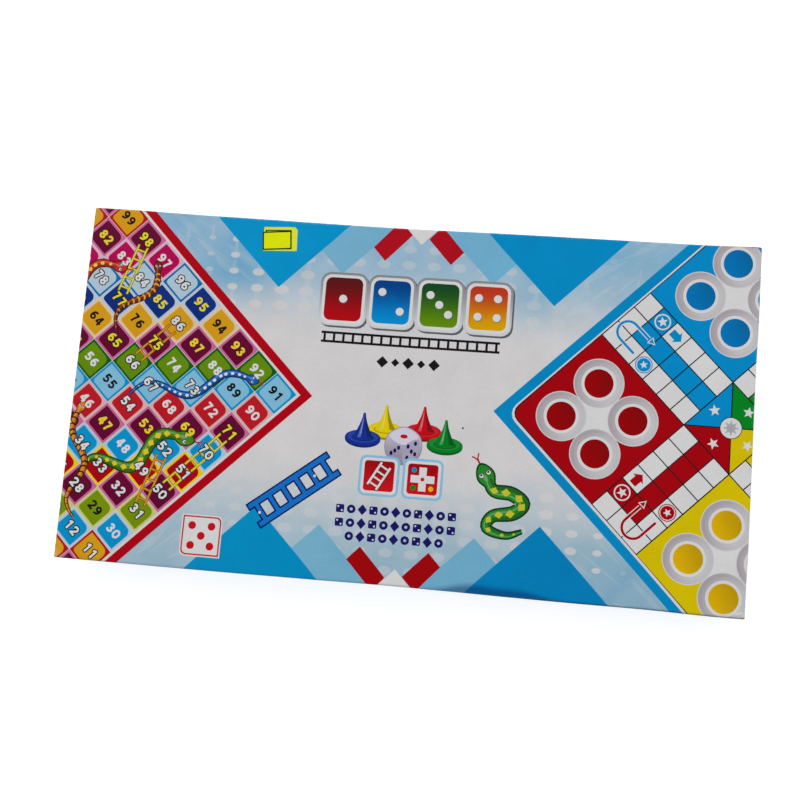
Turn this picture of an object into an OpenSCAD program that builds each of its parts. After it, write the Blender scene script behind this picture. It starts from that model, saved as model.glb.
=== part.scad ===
// Boxed two-in-one set: a folding board with a snakes and ladders face and a ludo face,
// sixteen pawns and a die, in a two-piece card box. The printed lid is what shows when it is shut.
// Millimetres. The origin is under the middle of the box: +X along its length, +Y to the rear,
// +Z up through the lid.

/* [Board] */
// Side of the square board when it lies open
board_side = 267; // [240:1:300]
// Thickness of each half's greyboard core
core_t = 1.6; // [1.2:0.1:2]
// Thickness of each printed paper sheet
sheet_t = 0.2; // [0.15:0.05:0.3]
// Thickness of the binding tape round the free edges
tape_t = 0.2; // [0.15:0.05:0.3]
// How far the binding tape reaches over each face
tape_w = 5; // [4:0.5:7]
// Gap between the folded halves
fold_gap = 0.3; // [0.2:0.1:0.6]
// How far the cores stop short of the crease
crease_relief = 0.6; // [0.4:0.1:1]

/* [Box] */
// Thickness of the folding card of tray, lid and insert
card_t = 0.5; // [0.4:0.05:0.7]
// Free room at each end of the board in the tray
board_play_x = 2.2; // [1.5:0.1:4]
// Free room before and behind the folded board
board_play_y = 5.45; // [4:0.05:8]
// Free room between the folded board and the tray's rim
lid_room = 1; // [0.6:0.1:3]
// Gap all round between the tray and the lid's walls
lid_gap = 0.3; // [0.25:0.05:0.6]
// Gap between the tray's rim and the lid's panel
rim_gap = 0.3; // [0.2:0.05:0.6]
// Depth of the lid over its folded walls
lid_depth = 24; // [18:0.5:25]
// Length of the glued corner flaps
flap_l = 22; // [15:1:30]
// Trim at the free corners of a flap
flap_trim = 3; // [2:0.5:5]

/* [Insert] */
// Gap between the insert and the tray's walls
insert_gap = 0.4; // [0.3:0.05:0.8]
// Free room over the pawns, under the board
pawn_headroom = 3.2; // [2:0.1:6]
// Free room between the outer pawns and the well's walls
well_margin = 9.5; // [5:0.5:14]
// Gap under a piece that lies loose
rest_gap = 0.3; // [0.2:0.05:0.5]

/* [Pawns] */
// Height of a pawn
pawn_h = 16; // [13:0.5:20]
// Diameter of a pawn's brim
brim_d = 15; // [12:0.5:18]
// Thickness of the brim
brim_t = 1.2; // [0.8:0.1:1.6]
// Wall thickness of the hollow pawn
pawn_wall = 1; // [0.8:0.1:1.3]
// Radius of the rounded tip
tip_r = 1.1; // [0.9:0.1:1.6]
// Distance between pawns of one colour
pawn_pitch = 26; // [22:0.5:30]

/* [Die] */
// Side of the die
die_s = 11; // [9:0.5:13]
// Diameter of a pip
pip_d = 1.9; // [1.4:0.1:2.2]
// Depth of the recess that a pip lies in
pip_recess = 0.5; // [0.4:0.1:0.8]
// Thickness of the paint in a recess
pip_t = 0.3; // [0.2:0.05:0.4]
// Distance from a face's middle to its outer pips
pip_pitch = 2.7; // [2.2:0.1:3]
// Free room round the die in the well
die_margin = 9; // [6:0.5:12]

/* [Price labels] */
// Thickness of a label
label_t = 0.1; // [0.08:0.01:0.2]
// Length of the lower label
label_under_l = 14.2; // [10:0.2:20]
// Width of the lower label
label_under_w = 10.2; // [8:0.2:14]
// Length of the upper label
label_over_l = 12.4; // [8:0.2:14]
// Width of the upper label
label_over_w = 8; // [6:0.2:10]
// Trim at the lower label's corner
label_trim = 1.2; // [0.5:0.1:2]
// Distance from the lid's left edge to the lower label's middle
label_from_left = 80.5; // [60:0.5:110]
// Distance from the lid's rear edge to the lower label's middle
label_from_rear = 8.6; // [7:0.2:14]
// How far the upper label's middle lies left of the lower one's
label_shift = 1.2; // [0:0.1:2]
// Turn of the labels on the lid, in degrees
label_turn = 4.5; // [-10:0.5:10]

/* [Hidden] */
PAWN_COLOURS = ["red", "blue", "green", "yellow"];

// Length that a cutting tool runs past what it cuts
overrun = 1;
// Facets of a full turn
round_fn = 64;

// The board folds along X into two halves
half_w = board_side / 2;
half_t = core_t + 2 * sheet_t;
stack_t = 2 * half_t + fold_gap;

// The box is built outwards from the folded board
tray_in_l = board_side + 2 * board_play_x;
tray_in_w = half_w + 2 * board_play_y;
tray_l = tray_in_l + 4 * card_t;
tray_w = tray_in_w + 2 * card_t;
lid_l = tray_l + 2 * lid_gap + 4 * card_t;
lid_w = tray_w + 2 * lid_gap + 2 * card_t;

// Heights, from the floor of the tray up
well_z = 2 * card_t;
pawn_z = well_z + rest_gap;
deck_z = pawn_z + pawn_h + pawn_headroom;
board_z = deck_z + rest_gap;
hinge_y = half_w / 2;
hinge_z = board_z + half_t + fold_gap / 2;
tray_h = board_z + stack_t + lid_room;
lid_top_z = tray_h + rim_gap + card_t;

// The insert is one folded strip: leg, deck, well, deck, leg
insert_l = tray_in_l - 2 * insert_gap;
insert_w = tray_in_w - 2 * insert_gap;
pawns_across = 4;
well_l = (pawns_across - 1) * pawn_pitch + brim_d + 2 * well_margin;

// The pawns stand in rows by colour, with the die before them
die_zone = die_s + 2 * die_margin;
row_pitch = (insert_w - die_zone) / len(PAWN_COLOURS);
first_row_y = -insert_w / 2 + die_zone + row_pitch / 2;
die_y = -insert_w / 2 + die_zone / 2;

// A pawn's side sweeps in from the brim to the tip along a power curve
sweep_steps = 9;
sweep_power = 2.3;
tip_steps = 4;

// The die's corners are cut by a ball
die_ball_share = 0.735;
// Pips of the faces 1 to 6, as shares of the pitch
pip_shares = [
    [[0, 0]],
    [[-1, -1], [1, 1]],
    [[-1, -1], [0, 0], [1, 1]],
    [[-1, -1], [-1, 1], [1, -1], [1, 1]],
    [[-1, -1], [-1, 1], [0, 0], [1, -1], [1, 1]],
    [[-1, -1], [-1, 0], [-1, 1], [1, -1], [1, 0], [1, 1]]
];
// Turns that bring the top to each face, opposite faces adding up to seven
face_turns = [[0, 0, 0], [90, 0, 0], [0, 90, 0], [0, -90, 0], [-90, 0, 0], [180, 0, 0]];

label_x = -lid_l / 2 + label_from_left;
label_y = lid_w / 2 - label_from_rear;

// A block that is centred on X and Y and stands on z
module block(size, z = 0) {
    translate([-size.x / 2, -size.y / 2, z]) cube(size);
}

// A glued corner flap inside the short wall at +X, folded round from the long wall at +Y
module corner_flap(in_l, in_w, h) {
    y0 = in_w / 2;
    outline = [
        [y0, 0], [y0, h], [y0 - flap_l + flap_trim, h], [y0 - flap_l, h - flap_trim],
        [y0 - flap_l, flap_trim], [y0 - flap_l + flap_trim, 0]
    ];
    translate([in_l / 2, 0, 0])
        rotate([90, 0, 90])
            linear_extrude(height = card_t) polygon(outline);
}

// A shallow box folded from one card blank, standing open on its panel.
// The short walls have the flaps on their inside, so the free length is two cards less.
module folded_box(l, w, h) {
    in_l = l - 4 * card_t;
    in_w = w - 2 * card_t;
    block([l, w, card_t]);
    for (side = [-1, 1]) {
        translate([side * (l - card_t) / 2, 0, 0]) block([card_t, w, h]);
        translate([0, side * (w - card_t) / 2, 0]) block([l, card_t, h]);
    }
    for (end = [0, 1], side = [0, 1])
        mirror([end, 0, 0]) mirror([0, side, 0])
            translate([0, 0, card_t]) corner_flap(in_l, in_w, h - card_t);
}

module tray_shell() {
    color("whitesmoke") folded_box(tray_l, tray_w, tray_h);
}

module lid_shell() {
    color("dodgerblue")
        translate([0, 0, lid_top_z])
            mirror([0, 0, 1]) folded_box(lid_l, lid_w, lid_depth);
}

// The strip's outline in X and Z: the right half, and its mirror image taken backwards
module card_insert() {
    foot = card_t;
    x_out = insert_l / 2;
    x_well = well_l / 2;
    right = [
        [x_well + card_t, foot], [x_well + card_t, deck_z - card_t],
        [x_out - card_t, deck_z - card_t], [x_out - card_t, foot], [x_out, foot],
        [x_out, deck_z], [x_well, deck_z], [x_well, foot + card_t]
    ];
    left = [for (i = [len(right) - 1 : -1 : 0]) [-right[i].x, right[i].y]];
    color("gainsboro")
        translate([0, insert_w / 2, 0])
            rotate([90, 0, 0])
                linear_extrude(height = insert_w) polygon(concat(right, left));
}

// A label with its far right corner trimmed
module label_blank(l, w, trim) {
    linear_extrude(height = label_t)
        polygon([
            [-l / 2, -w / 2], [l / 2, -w / 2], [l / 2, w / 2 - trim],
            [l / 2 - trim, w / 2], [-l / 2, w / 2]
        ]);
}

module label_place(layer, shift) {
    translate([label_x - shift, label_y, lid_top_z + layer * label_t])
        rotate([0, 0, label_turn]) children();
}

module price_label_under() {
    color("yellow")
        label_place(0, 0) label_blank(label_under_l, label_under_w, label_trim);
}

module price_label_over() {
    color("gold")
        label_place(1, label_shift) block([label_over_l, label_over_w, label_t]);
}

// The lower half is drawn with the crease on the X axis, and the upper half is its mirror image
module lower_half() {
    translate([0, hinge_y, hinge_z]) children();
}

module upper_half() {
    translate([0, hinge_y, hinge_z]) mirror([0, 0, 1]) children();
}

// A slab of a board half: its inset from the free edges, its top under the crease and its thickness
module half_slab(inset, top, t, relief = 0) {
    slab_w = half_w - inset - relief;
    translate([0, -relief - slab_w / 2, -top - t])
        block([board_side - 2 * inset, slab_w, t]);
}

module board_core() {
    color("tan") half_slab(tape_t, fold_gap / 2 + sheet_t, core_t, crease_relief);
}

module snakes_sheet() {
    color("crimson") half_slab(tape_w, fold_gap / 2, sheet_t);
}

module ludo_sheet() {
    color("deepskyblue") half_slab(tape_w, fold_gap / 2 + sheet_t + core_t, sheet_t, crease_relief);
}

// Binding that wraps three edges and laps both faces, level with the sheets
module edge_tape() {
    color("firebrick")
        difference() {
            half_slab(0, fold_gap / 2, half_t, crease_relief);
            half_slab(tape_t, fold_gap / 2 + sheet_t, core_t);
            half_slab(tape_w, fold_gap / 2 - overrun, half_t + 2 * overrun);
        }
}

function sweep_r(share, foot_r, top_r) = top_r + (foot_r - top_r) * pow(1 - share, sweep_power);

// Half outline of a hollow pawn: flat brim, swept side, round tip, and the hollow inside
module pawn(colour) {
    brim_r = brim_d / 2;
    tip_z = pawn_h - tip_r;
    hollow_top = tip_z - 3 * pawn_wall;
    side = [for (i = [0 : sweep_steps - 1])
        [sweep_r(i / sweep_steps, brim_r, tip_r), brim_t + (tip_z - brim_t) * i / sweep_steps]];
    tip = [for (i = [0 : tip_steps])
        [tip_r * cos(90 * i / tip_steps), tip_z + tip_r * sin(90 * i / tip_steps)]];
    hollow = [for (i = [sweep_steps : -1 : 0])
        [max(sweep_r(i / sweep_steps, brim_r, tip_r) - pawn_wall * (1 + i / sweep_steps), tip_r / 2),
         hollow_top * i / sweep_steps]];
    color(colour)
        rotate_extrude($fn = round_fn)
            polygon(concat([[brim_r, 0]], side, tip, [[0, hollow_top]], hollow));
}

module pawn_place(row, column) {
    translate([
        (column - (pawns_across - 1) / 2) * pawn_pitch,
        first_row_y + row * row_pitch,
        pawn_z
    ]) children();
}

module die_place() {
    translate([0, die_y, well_z + rest_gap + die_s / 2]) children();
}

// Puts a child at every pip of every face, with its top at the face
module at_pips() {
    for (face = [0 : len(pip_shares) - 1], p = pip_shares[face])
        rotate(face_turns[face])
            translate([p.x * pip_pitch, p.y * pip_pitch, die_s / 2]) children();
}

module die_body() {
    color("ivory")
        die_place()
            difference() {
                intersection() {
                    cube(die_s, center = true);
                    sphere(r = die_s * die_ball_share, $fn = round_fn);
                }
                at_pips()
                    translate([0, 0, -pip_recess])
                        cylinder(d = pip_d, h = pip_recess + overrun, $fn = round_fn);
            }
}

module die_pips() {
    color("black")
        die_place()
            at_pips()
                translate([0, 0, -pip_recess]) cylinder(d = pip_d, h = pip_t, $fn = round_fn);
}

tray_shell();
card_insert();
lid_shell();
price_label_under();
price_label_over();
lower_half() board_core();  // board_core_lower
upper_half() board_core();  // board_core_upper
lower_half() snakes_sheet();  // snakes_sheet_lower
upper_half() snakes_sheet();  // snakes_sheet_upper
lower_half() ludo_sheet();  // ludo_sheet_lower
upper_half() ludo_sheet();  // ludo_sheet_upper
lower_half() edge_tape();  // edge_tape_lower
upper_half() edge_tape();  // edge_tape_upper
for (row = [0 : len(PAWN_COLOURS) - 1], column = [0 : pawns_across - 1])
    pawn_place(row, column) pawn(PAWN_COLOURS[row]);
die_body();
die_pips();
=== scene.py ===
import math

import bmesh
import bpy
import numpy as np
from mathutils import Euler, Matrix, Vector
from mathutils.geometry import delaunay_2d_cdt


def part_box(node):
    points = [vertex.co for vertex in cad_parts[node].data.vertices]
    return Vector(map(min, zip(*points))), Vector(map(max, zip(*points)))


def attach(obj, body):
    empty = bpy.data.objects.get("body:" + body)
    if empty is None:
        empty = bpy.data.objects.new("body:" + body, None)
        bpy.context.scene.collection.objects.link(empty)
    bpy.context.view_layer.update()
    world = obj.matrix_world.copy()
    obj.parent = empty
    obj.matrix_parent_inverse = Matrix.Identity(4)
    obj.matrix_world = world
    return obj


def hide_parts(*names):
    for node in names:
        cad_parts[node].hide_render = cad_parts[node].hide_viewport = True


# The boxed snakes and ladders and ludo set. Lengths are in millimetres until a mesh is made.
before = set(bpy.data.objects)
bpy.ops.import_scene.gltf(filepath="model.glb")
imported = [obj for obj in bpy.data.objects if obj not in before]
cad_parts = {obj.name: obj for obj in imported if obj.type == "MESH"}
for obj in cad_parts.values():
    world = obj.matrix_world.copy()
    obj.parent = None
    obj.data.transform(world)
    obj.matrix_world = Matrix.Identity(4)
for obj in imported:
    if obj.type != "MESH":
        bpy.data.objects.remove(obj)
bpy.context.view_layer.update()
MM = 0.001


# Camera

CAMERA_PLACE = (35.74, -52.72, 460.62)
CAMERA_TURN = (7.463, 4.373, 4.739)
CAMERA_LENS = 48.75
CAMERA_SENSOR = 36.0
CAMERA_NEAR = 10


def put(name, data, where=(0, 0, 0)):
    """A new object in the scene, at a place in millimetres."""
    made = bpy.data.objects.new(name, data)
    made.location = Vector(where) * MM
    bpy.context.scene.collection.objects.link(made)
    return made


def make_camera():
    data = bpy.data.cameras.new("camera")
    data.lens = CAMERA_LENS
    data.sensor_width = CAMERA_SENSOR
    data.clip_start = CAMERA_NEAR * MM
    camera = put("camera", data, CAMERA_PLACE)
    camera.rotation_euler = Euler([math.radians(a) for a in CAMERA_TURN])
    bpy.context.scene.camera = camera


make_camera()


# Sizes that the frame gives, and the card's thickness

def box_mm(node):
    low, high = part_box(node)
    return np.array(low) / MM, np.array(high) / MM


LID_LOW, LID_HIGH = box_mm("lid_shell")
TRAY_HIGH = box_mm("tray_shell")[1]
SIDE_X, TOP_Y = LID_HIGH[:2]
LID_WALL = LID_HIGH[2] - LID_LOW[2]
CARD = 0.5
HINGE_Y = box_mm("snakes_sheet_lower")[1][1]


# Inks, as 0 to 255 values

PAPER = (202, 200, 201)
BLACK = (20, 18, 22)
BLUE = (0, 128, 184)
RED = (165, 0, 18)
YELLOW = (214, 192, 0)
GREEN = (0, 118, 30)
NAVY = (22, 18, 92)
SILVER = (158, 160, 164)
CARD_GREY = (186, 183, 176)


def linear(ink):
    """0 to 255 values as the linear values that a shader takes."""
    share = np.asarray(ink, float) / 255
    return np.where(share <= 0.04045, share / 12.92, ((share + 0.055) / 1.055) ** 2.4)


def mix(a, b, share):
    """Ink a with a share of ink b, for one ink or for an array of them."""
    share = np.asarray(share, float)
    if share.ndim:
        share = share[:, None]
    return np.asarray(a, float) * (1 - share) + np.asarray(b, float) * share


def smooth(x, low, high):
    """0 below low, 1 above high and a soft step between."""
    t = np.clip((np.asarray(x, float) - low) / (high - low), 0, 1)
    return t * t * (3 - 2 * t)


def bell(x, middle, reach):
    """1 at the middle and less to both sides, down to about a third at the reach."""
    return np.exp(-((x - middle) / reach) ** 2)


# Outlines of flat shapes

def rect(x0, y0, x1, y1):
    return np.array([(x0, y0), (x1, y0), (x1, y1), (x0, y1)], float)


def disc(rx, ry=None, x=0.0, y=0.0, sides=28):
    a = np.linspace(0, 2 * np.pi, sides, endpoint=False)
    return np.stack([x + rx * np.cos(a), y + (ry or rx) * np.sin(a)], 1)


def rounded(x0, y0, x1, y1, radii, steps=4):
    """A rectangle with its own corner radii, from the lower left one round to the upper left one."""
    if np.isscalar(radii):
        radii = (radii,) * 4
    corners = [(x0, y0, 180), (x1, y0, 270), (x1, y1, 0), (x0, y1, 90)]
    points = []
    for (cx, cy, start), r in zip(corners, radii):
        mx, my = cx + r * (1 if cx == x0 else -1), cy + r * (1 if cy == y0 else -1)
        for a in np.radians(start + 90 * np.arange(steps + 1) / steps):
            points.append((mx + r * math.cos(a), my + r * math.sin(a)))
    return np.array(points)


def plate(half_x, half_y, radii, steps=4):
    """A rounded rectangle with its middle at the origin."""
    return rounded(-half_x, -half_y, half_x, half_y, radii, steps)


def curve(points, steps, closed=False):
    """A smooth line through the points."""
    p = np.array(points, float)
    n = len(p)
    found = []
    for i in range(n if closed else n - 1):
        if closed:
            a, b, c, d = p[i - 1], p[i], p[(i + 1) % n], p[(i + 2) % n]
        else:
            b, c = p[i], p[i + 1]
            a = p[i - 1] if i else 2 * b - c
            d = p[i + 2] if i + 2 < n else 2 * c - b
        for t in np.arange(steps) / steps:
            found.append(0.5 * (2 * b + (c - a) * t + (2 * a - 5 * b + 4 * c - d) * t * t
                                + (3 * b - a - 3 * c + d) * t ** 3))
    if not closed:
        found.append(p[-1])
    return np.array(found)


def sides_of(line, width, closed=False):
    """The two edges of a ribbon of that width, or widths, along a line."""
    if closed:
        ahead = np.roll(line, -1, 0) - np.roll(line, 1, 0)
    else:
        ahead = np.gradient(line, axis=0)
    ahead /= np.linalg.norm(ahead, axis=1)[:, None] + 1e-12
    across = np.stack([-ahead[:, 1], ahead[:, 0]], 1) * np.reshape(width, (-1, 1)) / 2
    return line + across, line - across


def ribbon(line, width):
    left, right = sides_of(np.asarray(line, float), width)
    return np.concatenate([left, right[::-1]])


# The pen draws flat shapes into a list, the later ones over the earlier ones.

class Pen:
    def __init__(self, shapes, axes=((1, 0), (0, 1)), origin=(0, 0)):
        self.shapes = shapes
        self.axes = np.array(axes, float)
        self.origin = np.array(origin, float)

    def at(self, x, y, turn=0.0, scale=1.0):
        """A pen with its origin there, turned by so many degrees."""
        c, s = math.cos(math.radians(turn)), math.sin(math.radians(turn))
        axes = scale * np.array([(c, s), (-s, c)]) @ self.axes
        return Pen(self.shapes, axes, np.array((x, y)) @ self.axes + self.origin)

    def fill(self, ink, *contours):
        """Fills the contours. An ink may be a function of places in the pen's own axes."""
        placed = [np.asarray(c, float) @ self.axes + self.origin for c in contours]
        self.shapes.append((self.of_sheet(ink) if callable(ink) else ink, placed))

    def of_sheet(self, ink):
        """The ink as a function of places on the whole sheet."""
        back = np.linalg.inv(self.axes)
        return lambda p: ink((p - self.origin) @ back)

    def line(self, ink, points, width):
        self.fill(ink, ribbon(points, width))

    def ring(self, ink, outer, inner, x=0.0, y=0.0):
        self.fill(ink, disc(outer, x=x, y=y), disc(inner, x=x, y=y))


def fade(low, high, y0, y1):
    """An ink that goes from low to high between two heights."""
    return lambda p: mix(low, high, smooth(p[:, 1], y0, y1))


# Digits are bold strokes in a box one high. A stroke is a straight line, a curve or a closed loop.
LINE, CURVE, LOOP = "line", "curve", "loop"
STROKE = 0.215
BOWL = (LOOP, [(0, 0.115), (0.25, 0.33), (0, 0.56), (-0.25, 0.33)])
STEM = (CURVE, [(-0.25, 0.34), (-0.23, 0.55), (-0.1, 0.8), (0.22, 0.88)])
DIGITS = {
    "0": [(LOOP, [(0, 0.115), (0.24, 0.3), (0.25, 0.5), (0.24, 0.7), (0, 0.885), (-0.24, 0.7), (-0.25, 0.5),
                  (-0.24, 0.3)])],
    "1": [(LINE, [(0.06, 0), (0.06, 1)]), (LINE, [(0.06, 0.9), (-0.22, 0.72)])],
    "2": [(CURVE, [(-0.25, 0.7), (-0.12, 0.87), (0.12, 0.87), (0.24, 0.68), (0.06, 0.4), (-0.22, 0.12)]),
          (LINE, [(-0.31, 0.115), (0.31, 0.115)])],
    "3": [(CURVE, [(-0.25, 0.76), (0, 0.885), (0.21, 0.71), (0.03, 0.52), (-0.06, 0.515)]),
          (CURVE, [(-0.06, 0.53), (0.05, 0.525), (0.25, 0.31), (0, 0.115), (-0.27, 0.24)])],
    "4": [(LINE, [(0.12, 0), (0.12, 1)]), (LINE, [(0.09, 0.96), (-0.27, 0.31)]),
          (LINE, [(-0.33, 0.29), (0.33, 0.29)])],
    "5": [(LINE, [(-0.24, 0.885), (0.27, 0.885)]), (LINE, [(-0.17, 0.9), (-0.22, 0.46)]),
          (CURVE, [(-0.22, 0.5), (0.02, 0.58), (0.25, 0.34), (0, 0.115), (-0.28, 0.22)])],
    "6": [BOWL, STEM],
    "7": [(LINE, [(-0.29, 0.885), (0.29, 0.885)]), (CURVE, [(0.2, 0.88), (0.02, 0.4), (-0.06, 0)])],
    "8": [(LOOP, [(0, 0.115), (0.25, 0.3), (0, 0.5), (-0.25, 0.3)]),
          (LOOP, [(0, 0.5), (0.22, 0.7), (0, 0.885), (-0.22, 0.7)])],
    "9": [(kind, [(-x, 1 - y) for x, y in points]) for kind, points in (BOWL, STEM)],
}
DIGIT_PITCH = 0.86
# A halo is five coarser copies of the number, moved by this share of its height
HALO = 0.12
HALO_TURNS = np.radians(np.arange(18, 360, 72))


def number(pen, value, height, ink, halo=None, steps=3):
    """A number with its middle at the pen's origin, over a halo where one is asked for."""
    digits = str(value)
    if halo is not None:
        reach = height * HALO
        for a in HALO_TURNS:
            number(pen.at(reach * math.cos(a), reach * math.sin(a)), value, height, halo, steps=2)
    for k, digit in enumerate(digits):
        own = pen.at((k - (len(digits) - 1) / 2) * DIGIT_PITCH * height, -height / 2, scale=height)
        for kind, points in DIGITS[digit]:
            line = np.array(points, float) if kind == LINE else curve(points, steps, kind == LOOP)
            left, right = sides_of(line, STROKE, kind == LOOP)
            contours = (left, right) if kind == LOOP else (np.concatenate([left, right[::-1]]),)
            own.fill(ink, *contours)


# Small motifs

def pips(pen, count, pitch, radius, ink):
    """The spots of a die's face."""
    one = [(0, 0)]
    two = [(-1, 1), (1, -1)]
    four = two + [(-1, -1), (1, 1)]
    layout = {1: one, 2: two, 3: one + two, 4: four, 5: one + four, 6: four + [(-1, 0), (1, 0)]}[count]
    for x, y in layout:
        pen.fill(ink, disc(radius, x=x * pitch, y=y * pitch, sides=20))


def star(points, outer, inner):
    a = np.pi / 2 + np.pi * np.arange(2 * points) / points
    r = np.where(np.arange(2 * points) % 2, inner, outer)
    return np.stack([r * np.cos(a), r * np.sin(a)], 1)


def arrow(length, width):
    """A broad arrow along +Y, with its middle at the origin."""
    shaft = width * 0.28
    neck = length * 0.05
    return np.array([(-shaft, -length / 2), (shaft, -length / 2), (shaft, neck), (width / 2, neck),
                     (0, length / 2), (-width / 2, neck), (-shaft, neck)])


def heading(along):
    """The turn in degrees that takes +Y to a direction."""
    return math.degrees(math.atan2(-along[0], along[1]))


def ladder(pen, foot, top, spread, rung_pitch, rail, ink, edge):
    """A ladder from foot to top, with a thin dark edge."""
    foot, top = np.array(foot, float), np.array(top, float)
    along = top - foot
    length = np.linalg.norm(along)
    own = pen.at(*foot, turn=heading(along))
    rungs = max(2, round(length / rung_pitch))
    for tone, grow in ((edge, rail * 0.34), (ink, 0.0)):
        for side in (-1, 1):
            own.line(tone, [(side * spread / 2, -grow), (side * spread / 2, length + grow)], rail + 2 * grow)
        for k in range(rungs):
            y = (k + 0.5) * length / rungs
            own.line(tone, [(-spread / 2, y), (spread / 2, y)], rail * 0.86 + 2 * grow)


def winding(start, end, waves, swing):
    """Places from start to end that swing to both sides of the straight line."""
    start, end = np.array(start, float), np.array(end, float)
    along = end - start
    across = np.array([-along[1], along[0]]) / np.linalg.norm(along)
    t = np.linspace(0, 1, int(8 * waves) + 1)[:, None]
    return start + along * t + across * swing * np.sin(2 * np.pi * waves * t) * (1 - 0.25 * t)


def snake(pen, points, width, body, edge, marks, mark_ink):
    """A snake from tail to head along a smooth line. Marks are spots, diamonds or bars along its back."""
    line = curve(points, 6)
    step = np.linalg.norm(np.diff(line, axis=0), axis=1)
    run = np.concatenate([[0], np.cumsum(step)])
    share = run / run[-1]
    widths = width * (0.14 + 0.86 * np.clip(share / 0.5, 0, 1) ** 0.8) * (1 - 0.3 * smooth(share, 0.84, 1))
    head = pen.at(*line[-1], turn=heading(line[-1] - line[-2]))
    w = width
    head.line(RED, [(0, 1.2 * w), (0, 1.9 * w)], 0.15 * w)
    for side in (-1, 1):
        fork = curve([(0, 1.8 * w), (side * 0.1 * w, 2.1 * w), (side * 0.34 * w, 2.4 * w)], 3)
        head.line(RED, fork, 0.12 * w)
    skull = curve([(0.34 * w, -0.55 * w), (0.7 * w, 0.3 * w), (0.46 * w, 1.05 * w), (0, 1.4 * w),
                   (-0.46 * w, 1.05 * w), (-0.7 * w, 0.3 * w), (-0.34 * w, -0.55 * w)], 5)
    pen.line(edge, line, widths + 0.3 * width)
    head.fill(edge, skull * 1.2 - (0, 0.1 * w))
    pen.line(body, line, widths)
    head.fill(body, skull)
    lit = mix(body, WHITE, 0.38)
    left, right = sides_of(line, widths)
    pen.fill(mix(body, BLACK, 0.3), np.concatenate([right, (right * 0.68 + left * 0.32)[::-1]]))
    pen.line(lit, left * 0.72 + right * 0.28, 0.13 * widths)
    head.fill(lit, disc(0.16 * w, 0.36 * w, -0.12 * w, 0.2 * w, 12))
    for at in np.arange(0.7 * width, run[-1] - 0.5 * width, 1.05 * width):
        k = int(np.searchsorted(run, at))
        spot = pen.at(*line[k], turn=heading(line[k] - line[k - 1]))
        w = widths[k]
        if marks == "spots":
            spot.fill(mark_ink, disc(0.25 * w, 0.29 * w, sides=12))
        elif marks == "bars":
            spot.fill(mark_ink, [(-0.5 * w, -0.3 * w), (0, -0.08 * w), (0.5 * w, -0.3 * w),
                                 (0.5 * w, 0.02 * w), (0, 0.24 * w), (-0.5 * w, 0.02 * w)])
        else:
            spot.fill(mark_ink, [(-0.36 * w, 0), (0, -0.42 * w), (0.36 * w, 0), (0, 0.42 * w)])
    for side in (-1, 1):
        for ink, size, x, y, sides in ((edge, 0.25, 0.34, 0.52, 14), (WHITE, 0.19, 0.34, 0.52, 14),
                                       (BLACK, 0.1, 0.34, 0.58, 10), (edge, 0.05, 0.14, 1.14, 8)):
            head.fill(ink, disc(size * width, x=side * x * width, y=y * width, sides=sides))


# The snakes and ladders board

CREAM = (206, 188, 150)
PINK = (188, 98, 142)
PURPLE = (92, 2, 44)
YELLOW_INK = (217, 198, 44)
WHITE = (206, 205, 206)
SKY = (0, 136, 192)
ORANGE = (202, 145, 18)
DEEP_RED = (166, 20, 26)
LINE_INK = (208, 198, 198)
# Tile, ring, number and the number's halo, for each diagonal of the board from its top left corner
PLUM = (PURPLE, PINK, YELLOW_INK, None)
DIAGONALS = [
    PLUM, (ORANGE, DEEP_RED, BLACK, None), PLUM, ((168, 0, 74), (210, 164, 190), WHITE, None),
    ((166, 188, 203), (0, 106, 164), WHITE, BLACK), ((8, 42, 118), (176, 188, 202), YELLOW_INK, None),
    (ORANGE, CREAM, BLACK, None), PLUM, ((92, 130, 4), (0, 86, 24), WHITE, None),
    ((120, 176, 204), (0, 136, 190), BLACK, None), ((176, 20, 32), (202, 166, 168), WHITE, None), PLUM,
    (SKY, (158, 190, 204), WHITE, None), ((160, 0, 14), (220, 190, 6), WHITE, None),
    (PURPLE, PINK, WHITE, None), ((110, 134, 0), (184, 190, 112), BLACK, None),
    (SKY, (174, 190, 204), WHITE, None), (ORANGE, DEEP_RED, WHITE, BLACK), PLUM,
]
CELLS = 10
CELL = 12.34
# Ladders from foot to top, by the numbers that they join, with their inks
WOOD, LIME, PALE = (204, 136, 30), (212, 200, 40), (204, 204, 208)
LADDERS = [(4, 23, WOOD), (9, 27, LIME), (19, 41, PALE), (31, 52, WOOD), (50, 71, LIME), (66, 86, WOOD),
           (77, 98, LIME), (40, 60, PALE)]
# Snakes: head, tail, body, edge, marks and their ink, width, and how often and how far they swing
SNAKES = [
    (69, 28, (70, 128, 24), (16, 56, 14), "diamonds", (206, 186, 40), 3.9, 1.5, 0.42),
    (97, 65, (120, 40, 14), (40, 10, 6), "bars", (214, 158, 40), 2.3, 1.0, 0.36),
    (92, 54, (16, 88, 170), (8, 18, 78), "spots", (206, 210, 216), 2.6, 1.5, 0.34),
    (46, 12, (206, 120, 20), (34, 16, 8), "bars", (34, 20, 12), 2.3, 1.5, 0.3),
    (83, 42, (184, 50, 30), (84, 10, 10), "spots", (216, 196, 60), 3.0, 1.5, 0.4),
    (36, 5, (30, 116, 92), (6, 50, 42), "diamonds", (196, 204, 80), 2.5, 1.5, 0.34),
    (62, 18, (104, 52, 130), (40, 12, 60), "bars", (200, 160, 206), 2.5, 2.0, 0.34),
]


def cell_of(value):
    """Column from the left and row from the top of a number on the board."""
    up, along = divmod(value - 1, CELLS)
    return (along if up % 2 == 0 else CELLS - 1 - along), CELLS - 1 - up


def place_of(value, x=0.0, y=0.0):
    """Middle of a number's cell, moved by shares of a cell."""
    column, row = cell_of(value)
    half = (CELLS - 1) / 2
    return np.array([(column - half + x) * CELL, (half - row + y) * CELL])


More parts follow.
